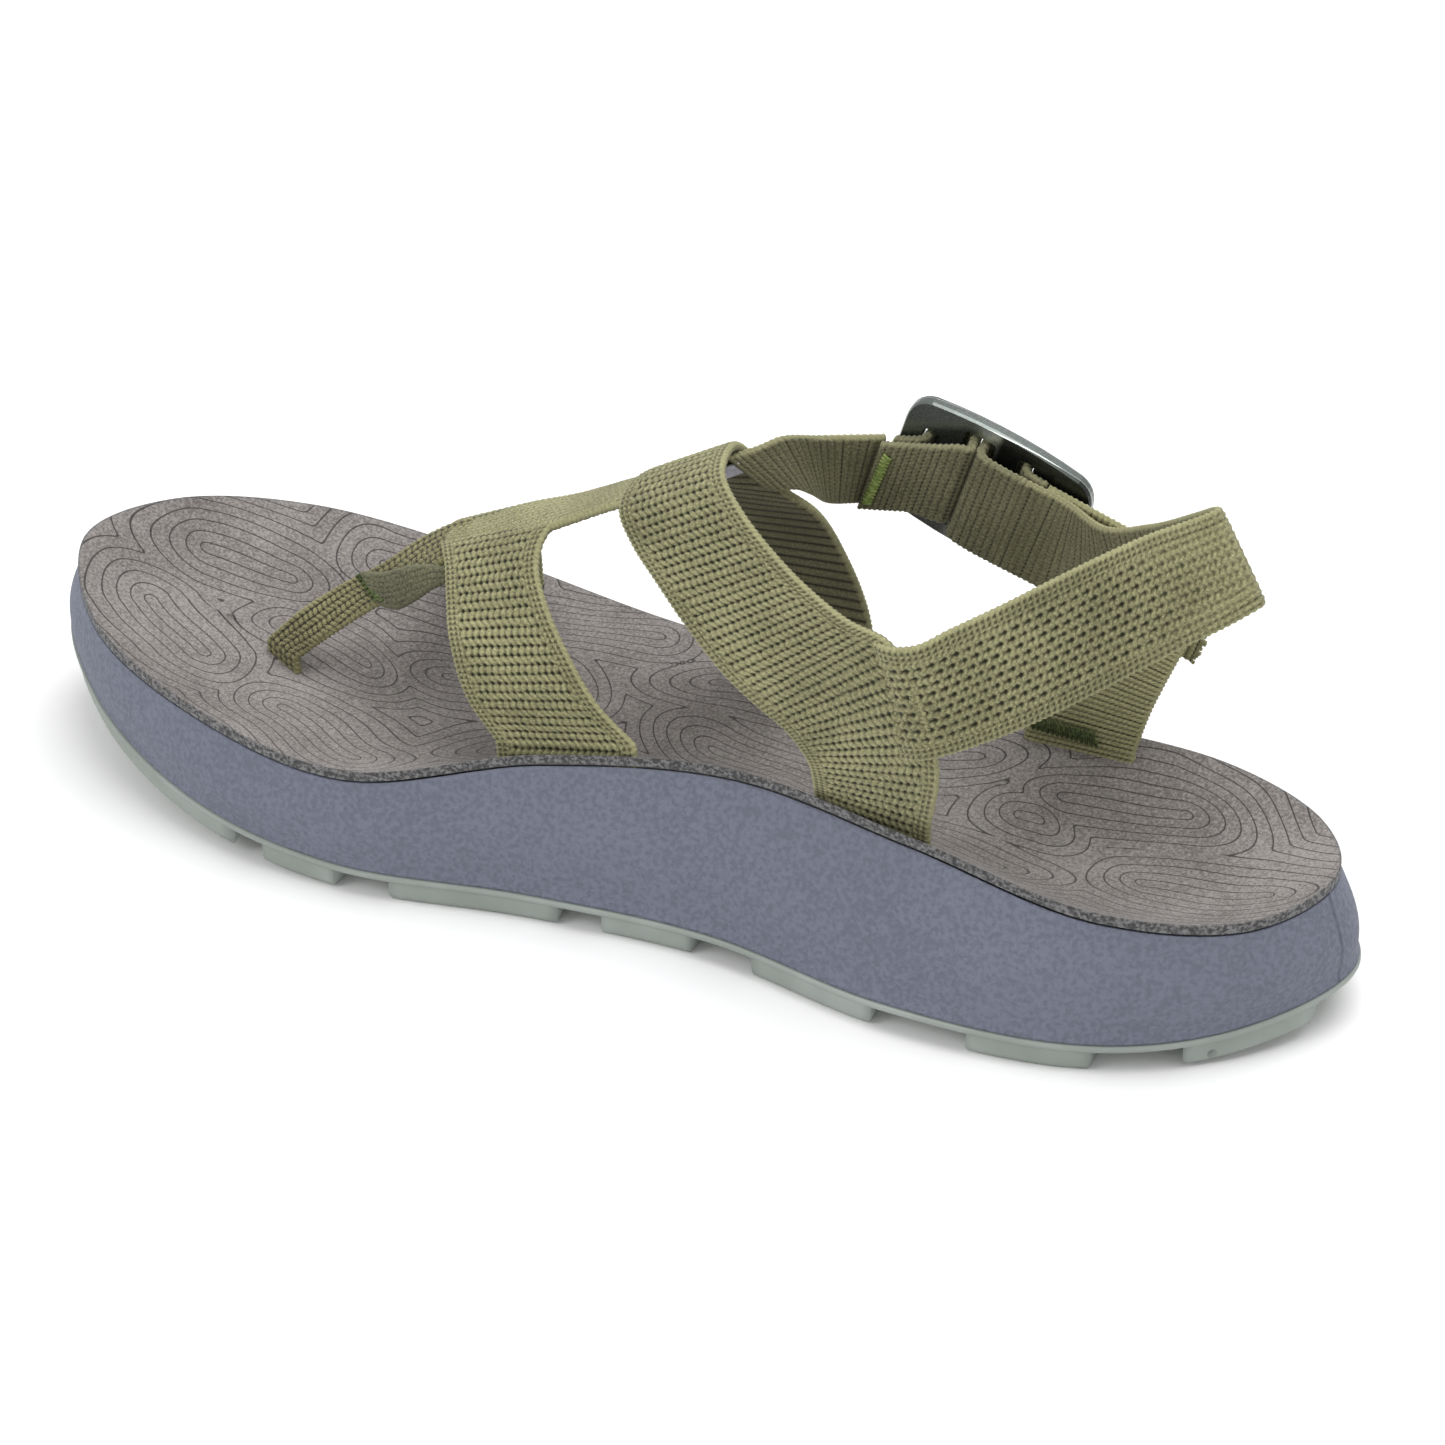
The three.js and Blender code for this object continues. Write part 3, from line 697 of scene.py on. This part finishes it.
def foam_finish():
    """Foam with a wrinkled skin, and the mould's seam at the heel."""
    f = Finish("moulded_foam", 0.66)
    f.shader.inputs["Specular IOR Level"].default_value = 0.35
    here = f.place()
    skin = f.noise(34, here, 3)
    grain = f.noise(900, here, 3, 0.65)
    wrinkles = f.noise(900, here, 2, 0.5)
    share = f.add(f.math("MULTIPLY", skin, 0.2), wrinkles, 0.8)
    split = f.nodes.new("ShaderNodeSeparateXYZ")
    f.links.new(here, split.inputs[0])
    seam = f.between(f.apart(split.outputs["Y"], SEAM_Y), 0.0002, 0.0006, 1, 0)
    seam = f.math("MULTIPLY", seam, f.between(split.outputs["X"], *SEAM_X, 0.55, 0))
    skin_tone = f.mix(f.between(share, 0.38, 0.62), tint(98, 102, 116), tint(110, 114, 129))
    f.colour(f.mix(seam, skin_tone, tint(66, 69, 80)))
    f.bump(f.add(wrinkles, grain, 0.35), 0.9, 0.00055)
    return f.material


def rubber_finish():
    """Pale rubber with a few dark specks."""
    f = Finish("moulded_rubber", 0.62)
    here = f.place()
    specks = f.between(f.cells(92, here), 0.085, 0.12, 1, 0)
    sparse = f.between(f.noise(60, here, 1), 0.52, 0.6)
    base = f.mix(f.between(f.noise(40, here, 3), 0.35, 0.7), tint(140, 147, 141), tint(156, 162, 157))
    f.colour(f.mix(f.math("MULTIPLY", specks, sparse), base, tint(30, 32, 32)))
    f.bump(f.noise(1400, here, 2), 0.25, 0.0001)
    return f.material


def suede_finish():
    """Brushed cover with thin printed contour lines and a felt edge."""
    f = Finish("brushed_cover", 0.95, sheen=0.1)
    here = f.place()
    nap = f.noise(1500, here, 4, 0.75)
    cloud = f.noise(42, here, 3)
    share = f.add(f.math("MULTIPLY", cloud, 0.25), nap, 0.75)
    base = f.mix(f.between(share, 0.36, 0.66), tint(96, 91, 88), tint(152, 147, 144))
    turns = f.math("FRACT", f.math("DIVIDE", f.fact("contour"), LINE_GAP))
    printed = f.between(f.apart(turns, 0.5), 0.035, 0.07, 0.85, 0)
    lined = f.mix(printed, base, tint(46, 44, 44))
    felt = f.mix(f.between(f.noise(1300, here, 3), 0.4, 0.65), tint(62, 62, 63), tint(122, 121, 121))
    f.colour(f.mix(f.fact("edge"), lined, felt))
    f.bump(nap, 0.45, 0.0002)
    return f.material


def metal_finish():
    """Dark plated faces, and a painted highlight on the sides and bevel round them, brightest next to the
    faces.
    """
    f = Finish("gunmetal", 0.3, metallic=0.92)
    here = f.place()
    out = f.nodes.new("ShaderNodeVectorMath")
    out.operation = "DOT_PRODUCT"
    f.links.new(here, out.inputs[0])
    out.inputs[1].default_value = OUT
    height = f.apart(out.outputs["Value"], float(BUCKLE_AT @ OUT) * MM)
    plated = f.mix(f.between(f.noise(500, here, 3), 0.3, 0.7), tint(60, 63, 61), tint(70, 73, 71))
    # Painted highlight: grey on the sides, with a bright line where the bevel meets the faces.
    bevel = f.mix(f.between(height, 0.0011, 0.0013), tint(118, 124, 121), tint(196, 202, 198))
    f.colour(f.mix(f.between(height, 0.00132, 0.00139), bevel, plated))
    brushed = f.noise(900, f.place((1, 1, 12)), 3)
    f.put(f.shader.inputs["Roughness"], f.between(brushed, 0.3, 0.7, 0.22, 0.32))
    f.bump(brushed, 0.04, 0.00004)
    return f.material


def plain_finish(name, dark, light, roughness, scale):
    """A cloudy mix of two colours."""
    f = Finish(name, roughness)
    here = f.place()
    f.colour(f.mix(f.between(f.noise(scale, here, 3), 0.35, 0.68), dark, light))
    f.bump(f.noise(scale * 3, here, 2), 0.3, 0.0001)
    return f.material


FOAM = foam_finish()
RUBBER = rubber_finish()
SUEDE = suede_finish()
METAL = metal_finish()
# Its inner-face colours are darker than the outer ones: painted shade on the inner face.
KNIT = knit_finish("olive_knit", tint(166, 164, 123), tint(114, 112, 80), tint(36, 36, 22),
                   tint(138, 136, 102), tint(94, 92, 69))
# A darker copy of the knit for the fold, whose face is turned down, away from the light: painted shade.
SHADED_FOLD_KNIT = knit_finish("folded_knit_painted_shade", tint(112, 111, 86), tint(66, 66, 50), tint(34, 35, 24),
                          tint(96, 95, 72), tint(66, 66, 50))
# A darker copy of the knit for the buckle loop and wrap, which lie in shade: painted shade.
SHADED_KNIT = knit_finish("painted_shade_knit", tint(138, 136, 104), tint(88, 86, 64), tint(32, 32, 20),
                          tint(138, 136, 104), tint(88, 86, 64))
WEBBING = knit_finish("olive_webbing", tint(150, 146, 106), tint(96, 93, 65), tint(32, 31, 20),
                      tint(142, 139, 102), tint(98, 96, 69))
# Its inner-face colours are lighter than its outer ones: painted light on the inner faces of the anchor and
# the tail, which lie in the heel strap's shade.
TAPE = knit_finish("heel_webbing", tint(166, 164, 122), tint(124, 122, 88), tint(56, 56, 38),
                   tint(186, 184, 138), tint(140, 138, 102))
GREEN_THREAD = plain_finish("green_thread", tint(118, 138, 72), tint(158, 172, 104), 0.8, 900)
DARK_THREAD = plain_finish("dark_green_thread", tint(58, 70, 42), tint(92, 104, 62), 0.8, 900)
NYLON = plain_finish("moulded_nylon", tint(50, 52, 56), tint(66, 68, 72), 0.55, 120)
LABEL = plain_finish("woven_tag", tint(192, 192, 204), tint(222, 222, 230), 0.8, 700)

# ---- strap routes ------------------------------------------------------------------------------

# Rear strap over the instep: its front and back edges, from the inner foot to the outer foot
REAR_FRONT = [
    (-41.2, 27, 41.5), (-40.6, 29.5, 50), (-36, 30, 56), (-30.2, 29, 58.6), (-22, 27.5, 63), (-12, 23.5, 69),
    (-3, 19, 74.7), (4, 15, 79), (9, 10, 82.5), (9.5, 1, 84.5), (6, -9, 82.5), (3, -18, 76), (1, -26, 66),
    (-0.5, -31, 54), (-2, -34, 42), (-2.5, -34.8, 30),
]
REAR_BACK = [
    (-65.8, 27.5, 39.5), (-68.5, 31.3, 58), (-64, 33, 76), (-58, 32, 83.2), (-48, 28.7, 83.6),
    (-37, 24, 85.8), (-27, 19, 89.2), (-18.9, 14, 92.7), (-12.9, 8, 95.1), (-10, -1, 95.2),
    (-9, -9, 91.5), (-14.2, -15.5, 80), (-20, -22, 71.4), (-23.8, -28, 58.3), (-26.8, -32, 44.7),
    (-28.8, -33.4, 30.5),
]
# Bridge from the toe post seam, ending on the rear strap
BRIDGE_OUTER = [
    (60.5, -0.5, 55.2), (54.5, -2.8, 59.2), (47.4, -4.2, 62.4), (37.7, -6, 67.4), (26.1, -6.5, 72.3),
    (15.9, -7, 77.5), (6, -8, 82.6), (-2, -8, 87.3),
]
BRIDGE_INNER = [
    (55.5, 5.5, 55.6), (50, 7.4, 58.8), (43, 8, 61.8), (35, 7, 66), (27.5, 6, 70.5), (20, 5.5, 75),
    (13, 5.5, 79.2), (6, 6.5, 83.2), (-2, 8, 88.4),
]
# Front arms: each fans out of the bridge and goes down to the sole
INNER_FRONT = [
    (58, -1, 58.3), (52.6, 4.5, 59.3), (48.6, 10, 58.4), (45.2, 16, 55.4), (41.2, 22.5, 50.6),
    (34.8, 28.4, 42.8), (26.3, 31.8, 36.4),
]
INNER_BACK = [
    (23, -2, 74.4), (26, 3.5, 72), (26.8, 8.5, 69.4), (25.2, 13.6, 66.3), (20.5, 19, 62), (14, 23.6, 56),
    (5.4, 28, 48.9), (-4.2, 30, 43),
]
OUTER_FRONT = [
    (52, 1, 60), (54.5, -6, 58), (61.5, -15, 50.5), (67.5, -25, 41.8), (72, -33, 36), (75.5, -37.4, 31),
]
OUTER_BACK = [
    (31.5, 1, 69.4), (35.2, -7, 67.2), (40.8, -17, 59.8), (47, -28, 49.6), (51.4, -35, 39.3), (53, -38.5, 31),
]
# Toe post, whose end goes on over the bridge
POST_FRONT = [
    (92.6, 10, 29.5), (84.8, 8.6, 38), (76.4, 6, 44.8), (67.4, 3, 50.8), (60.6, -1.2, 56), (54.5, -3.2, 59.8),
    (48, -4.6, 62.8), (43, -5.2, 65.2),
]
POST_BACK = [
    (83, 14, 29.5), (77, 12.5, 35), (66.9, 10.5, 43.7), (58, 9.4, 50.3), (52.5, 8.4, 56), (48, 6, 60.4),
    (44, 3.4, 63.4), (41, 1.2, 65.8),
]
# Fold of knit sewn on the toe post's inner side
FOLD_HIGH = [(72, 5.8, 49.4), (64.9, 7.4, 52), (58, 8, 55.8), (52, 9, 58), (46.5, 10.2, 59.2)]
FOLD_LOW = [(63.7, 11.9, 46.4), (59.6, 12.4, 47), (54.6, 12.2, 50.8), (50.6, 11.8, 54.6), (46, 11.2, 57.4)]

# Straps at the buckle, in its own frame: place along the strap, and height out from the plate's middle
HEEL_HALF, ANKLE_HALF, TAIL_HALF = 12.2, 9.8, 11.8     # half widths
UNDER, LOWER = -2.9, -5.15    # the first and the second layer under the plate
SKEW, SKEW_FROM = 0.6, -11    # how steeply the loop and the ankle strap drop, and from where
LOOP_FLARE = 2.2              # how far the loop's top edge rises in the middle slot


def at(u, v, n):
    """A place in the buckle's frame."""
    return BUCKLE_AT + TO_HEEL * u + UP * v + OUT * n


def skewed(u):
    return SKEW * (u - SKEW_FROM) if u < SKEW_FROM else 0.0


def edge(path, v):
    """An edge line of a strap whose path is given in the buckle's frame."""
    return [at(u, v + skewed(u), n) for u, n in path]


# Ankle strap's end: out through the middle slot, over the bar and back in through the first slot
LOOP = [
    (-23, LOWER), (-18, LOWER), (-12, -5.3), (-8, -5.1), (-5.8, -4.2), (-5.8, -2.6), (-6.1, -1),
    (-6.1, 1), (-7.4, 2.5), (-11, 2.9), (-13.9, 2.5), (-15, 1), (-15.1, -1), (-15.9, -2.4),
    (-18.2, UNDER), (-21.2, UNDER),
]
# Heel strap's end: out through the middle slot, over the other bar and back in through the third
WRAP = [
    (7.2, LOWER), (0.9, -5.2), (-2.7, -4.6), (-3.75, -3.1), (-3.7, -1), (-3.7, 1), (-2.3, 2.5), (1.8, 2.9),
    (4.7, 2.5), (5.8, 1), (5.8, -1), (6.9, -2.5), (9.4, UNDER), (11.2, UNDER),
]
TAIL_FROM, TAIL_MIDDLE, TAIL_TO = 11.6, 30, 52
FRAYED_YARNS = 30

# Heel strap's top and lower edges, from the instep round the heel to the buckle
HEEL_HIGH = [
    (-52, 32, 82.2), (-57.5, 33.2, 83), (-63.2, 32.4, 84.2), (-69, 28.9, 87.6), (-77, 24, 92.2),
    (-85, 18.5, 97), (-92.5, 12, 100.8), (-99, 6.4, 103.6), (-104.8, 2.6, 105.8), (-108.4, -0.6, 107),
    (-106.5, -5.4, 104.2),
    (-101.2, -10.5, 98.7), (-89.5, -21, 87.5), (-78.5, -25.8, 81.6), at(16, HEEL_HALF, LOWER),
    at(6.4, HEEL_HALF, LOWER),
]
HEEL_LOW = [
    (-58, 32, 56), (-64.5, 32.6, 58.6), (-70.4, 31, 61), (-76, 28.7, 63.6), (-84, 24.8, 67.8),
    (-91.8, 19.6, 72.3), (-100, 13.3, 77.2), (-108, 7.6, 81.9), (-114.8, 3.3, 86), (-118.8, -0.6, 88.4),
    (-116.5, -6, 84.6),
    (-110.5, -12, 77.6), (-98.5, -21, 66.5), (-85.5, -26.2, 59.4), at(16, -HEEL_HALF, LOWER),
    at(6.4, -HEEL_HALF, LOWER),
]
# Heel anchor strap's edges, from the sole up
ANCHOR_FRONT = [(-65, -25.5, 31), (-68.5, -27.5, 42), (-73.5, -30.9, 54), (-79.5, -31.9, 66)]
ANCHOR_BACK = [(-88.9, -25.5, 31.5), (-91.2, -26, 41), (-94.5, -27.8, 51), (-98.5, -28.9, 61.5)]


def heel_knit(u, v, half):
    """The knit with bricked gaps, which close towards the heel, where ribs run along its edges."""
    fade = ramp(u, 46, 84)
    height, pit = lattice_knit(u, v, half, fade)
    inset = half - np.abs(v)
    edge_rib = ramp(inset, 6.5, 5.4) * fade
    rib = np.cos(2 * np.pi * inset / 1.5)
    pit = pit * (1 - 0.6 * edge_rib) + 0.16 * edge_rib * (1 - rib)
    return height + 0.10 * rib * edge_rib, np.clip(pit, 0, 1)


def instep():
    """The bridge and its arms lie on the rear strap: all four are one knitted piece."""
    rear = strap("instep_rear_strap", REAR_FRONT, REAR_BACK, outer=-1,
                 start=[(-42, 26.7, 27), (-66, 26.7, 26)], end=[(-2.8, -34.8, 17), (-29, -33.4, 17)])
    bridge = strap("instep_bridge", BRIDGE_OUTER, BRIDGE_INNER, outer=-1, face=close_knit, lift=0.35,
                   sink=(2.6, 2.2), crown=0.5)
    inner = strap("instep_inner_arm", INNER_FRONT, INNER_BACK, outer=1, lift=0.6, sink=(2.2, 0),
                  end=[(25.5, 32, 23), (-5.2, 30.3, 27)])
    outer = strap("instep_outer_arm", OUTER_FRONT, OUTER_BACK, outer=-1, lift=0.5, sink=(2.6, 0),
                  end=[(76, -37.8, 18), (52.8, -39, 18)])
    for piece in (rear, bridge, inner, outer):
        dress(piece, KNIT, "sole", "knit", "instep_knit")


def toe_post():
    post = strap("toe_post", POST_FRONT, POST_BACK, outer=-1, face=herringbone, back=herringbone,
                 start=[(92.2, 10.2, 13.3), (82.8, 13.8, 13.3)], lift=0.2, sink=(0, 1.8), beads=0.22,
                 across=0.34)
    dress(post, WEBBING, "sole", "webbing", "toe_post")
    fold = strap("instep_fold", FOLD_HIGH, FOLD_LOW, outer=-1, face=close_knit, back=close_knit,
                 thick=2.1, sink=(0.5, 1.2), beads=0.1)
    dress(fold, SHADED_FOLD_KNIT, "sole", "knit", "instep_knit")


def ankle_strap():
    high, low = (at(-23.2, side * ANKLE_HALF + skewed(-23.2), UNDER) for side in (1, -1))
    top = [(-6, -5, 91.4), (-10.9, -10.3, 91.2), (-14.4, -16, 91.5), (-19.5, -24, 88.6), high]
    foot = [(-12, -12, 81.5), (-16.6, -17.2, 79.2), (-18.2, -22, 75.6), (-18.8, -28.5, 70.5), low]
    ankle = strap("ankle_strap", top, foot, outer=1, back=slant_knit, sink=(1.2, 0))
    dress(ankle, KNIT, None, "knit", "ankle_strap")
    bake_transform(ankle)


def heel_strap():
    heel = strap("heel_strap", HEEL_HIGH, HEEL_LOW, outer=-1, face=heel_knit, back=slant_knit, lift=0.35,
                 sink=(2.0, 0.35))
    dress(heel, KNIT, None, "knit", "heel_strap")
    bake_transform(heel)


def buckle_strap(name, high, low):
    """A strap folded through the buckle: finer than the others, because it bends sharply."""
    return strap(name, high, low, outer=-1, face=slant_knit, back=slant_knit, step=0.22, across=0.28)


def buckle_straps():
    flared = [at(u, ANKLE_HALF + skewed(u) + LOOP_FLARE * ramp(u, -13, -7), n) for u, n in LOOP]
    loop = buckle_strap("buckle_loop", flared, edge(LOOP, -ANKLE_HALF))
    dress(loop, SHADED_KNIT, None, "knit", "buckle_loop")
    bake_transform(loop)
    wrap = buckle_strap("buckle_wrap", edge(WRAP, HEEL_HALF), edge(WRAP, -HEEL_HALF))
    dress(wrap, SHADED_KNIT, "buckle", "knit", "buckle_wrap")


def strap_tail():
    path = [(TAIL_FROM, UNDER), (TAIL_MIDDLE, UNDER), (TAIL_TO, UNDER)]
    tail = strap("strap_tail", edge(path, TAIL_HALF), edge(path, -TAIL_HALF), outer=1,
                 face=plain_ribs, back=plain_ribs, thick=1.7)
    fray(tail)
    dress(tail, TAPE, "tail", "webbing", "strap_tail")


def heel_anchor():
    anchor = strap("heel_anchor_strap", ANCHOR_FRONT, ANCHOR_BACK, outer=1, face=plain_ribs,
                   back=plain_ribs, start=[(-64.8, -25.3, 18), (-88.7, -25.3, 18)])
    dress(anchor, TAPE, None, "webbing", "heel_anchor_strap")
    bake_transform(anchor)


def fray(tail):
    """Loose yarn ends along the cut end of the tail, joined to its mesh."""
    bm = bmesh.new()
    bm.from_mesh(tail.data)
    across = np.linspace(-TAIL_HALF + 0.5, TAIL_HALF - 0.5, FRAYED_YARNS)
    for k, v in enumerate(across):
        luck, other = chance(k, 3), chance(k, 8)
        base = at(TAIL_TO - 0.8, v, UNDER + 0.5 * (luck - 0.5))
        tip = at(TAIL_TO + 0.3 + 0.9 * luck, v + 1.4 * (other - 0.5), UNDER + 1.0 * (luck - 0.5))
        bend = (base + tip) / 2 + OUT * 0.3 * (other - 0.5)
        yarn = thread("yarn_end", [base, bend, tip], radius=0.42, sides=6, steps=3)
        bm.from_mesh(yarn.data)
        bpy.data.objects.remove(yarn)
    bm.to_mesh(tail.data)
    bm.free()


def zigzag(start, end, half, count, lift, arch):
    """Bar stitching: a yarn that goes to and fro across a line, bowed up over the cloth."""
    start, end, half, lift = (np.array(p, float) for p in (start, end, half, lift))
    path = []
    for k in range(count + 1):
        spot = start + (end - start) * k / count
        side = 1 if k % 2 else -1
        path += [spot + side * half, spot + side * half * 0.1 + lift * arch]
    return path


def stitching():
    close_loop = zigzag(at(-20.6, 1, LOWER - 1.3), at(-21.4, -13.4, LOWER - 1.3), TO_HEEL * 0.9,
                        30, -OUT, 0.35)
    dress(thread("loop_bartack", close_loop, 0.26), GREEN_THREAD, "heel_loop", "thread", "loop_bartack")
    hold_anchor = zigzag((-67.2, -23.9, 33.4), (-81, -23.7, 33.2), (0, 0.2, 1.8), 26, (0, 1, 0), 0.4)
    dress(thread("anchor_bartack", hold_anchor, 0.3), DARK_THREAD, "sole", "thread", "anchor_bartack")
    hold_post = zigzag((71.8, 6.0, 48.4), (64.2, 11.6, 47.2), (-0.8, -0.2, 0.5), 13,
                       (0.3, 0.6, 0.7), 0.35)
    dress(thread("toe_post_bartack", hold_post, 0.28), DARK_THREAD, "sole", "thread", "toe_post_bartack")


def size_tag():
    inner = [(-9.4, -5.6, 89.7), (-9.9, -7.8, 88), (-10.4, -10, 86.2)]
    outer = [(-2.4, -4.6, 85.7), (-3.4, -7.3, 84), (-4.4, -10, 82.4)]
    tag = strap("size_tag", inner, outer, face=plain_ribs, back=plain_ribs, thick=0.5, beads=0.0)
    dress(tag, LABEL, "sole", "label", "size_tag")


def inner_plates():
    for name in ("arch_shank", "toe_post_anchor"):
        set_finish(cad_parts[name], NYLON)


def set_finish(node, finish):
    """Gives a finish to a piece that keeps its shape from the CAD."""
    if not node.material_slots:
        raise SystemExit(node.name + " has no material slot")
    for place in node.material_slots:
        place.link = "OBJECT"
        place.material = finish


# ---- studio ------------------------------------------------------------------------------------

# Lengths in metres
AZIMUTH, ELEVATION, DISTANCE = math.radians(205.15), math.radians(34.3), 0.8
TARGET = Vector((-0.00955, 0.002, 0.0325))
FLOOR_HALF, FLOOR_GAP = 4, 0.0004


def camera():
    data = bpy.data.cameras.new("studio_camera")
    data.lens, data.sensor_width = 97.85, 36
    eye = add("studio_camera", data)
    flat = math.cos(ELEVATION)
    back = Vector((math.sin(AZIMUTH) * flat, -math.cos(AZIMUTH) * flat, math.sin(ELEVATION)))
    eye.location = TARGET + back * DISTANCE
    eye.rotation_euler = back.to_track_quat("Z", "Y").to_euler()
    bpy.context.scene.camera = eye


def softbox(name, place, size, power):
    data = bpy.data.lights.new(name, "AREA")
    data.shape, data.size, data.energy = "DISK", size, power
    lamp = add(name, data)
    lamp.location = place
    lamp.rotation_euler = Vector(place).to_track_quat("Z", "Y").to_euler()


def studio():
    camera()
    softbox("overhead_softbox", (-0.3, -0.2, 1.5), 1.4, 17)
    softbox("front_softbox", (0.9, 1.1, 1.0), 0.8, 7)
    world = bpy.data.worlds.new("studio_light")
    world.use_nodes = True
    backdrop = world.node_tree.nodes["Background"]
    backdrop.inputs["Color"].default_value = (1, 1, 1, 1)
    backdrop.inputs["Strength"].default_value = 0.72
    bpy.context.scene.world = world
    bpy.context.scene.view_settings.view_transform = "Standard"


def paper_floor():
    bm = bmesh.new()
    bmesh.ops.create_grid(bm, x_segments=1, y_segments=1, size=FLOOR_HALF)
    bmesh.ops.translate(bm, verts=bm.verts, vec=(0, 0, CAD_BOX[0][2] - FLOOR_GAP))
    mesh = bpy.data.meshes.new("floor")
    bm.to_mesh(mesh)
    bm.free()
    floor = add("floor", mesh)
    paper = Finish("pale_paper", 0.9)
    mesh.materials.append(paper.colour((0.93, 0.93, 0.93, 1)))


studio()
paper_floor()
midsole()
outsole()
footbed_cover()
instep()
toe_post()
ankle_strap()
heel_strap()
buckle_straps()
strap_tail()
heel_anchor()
stitching()
size_tag()
inner_plates()
set_finish(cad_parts["buckle"], METAL)
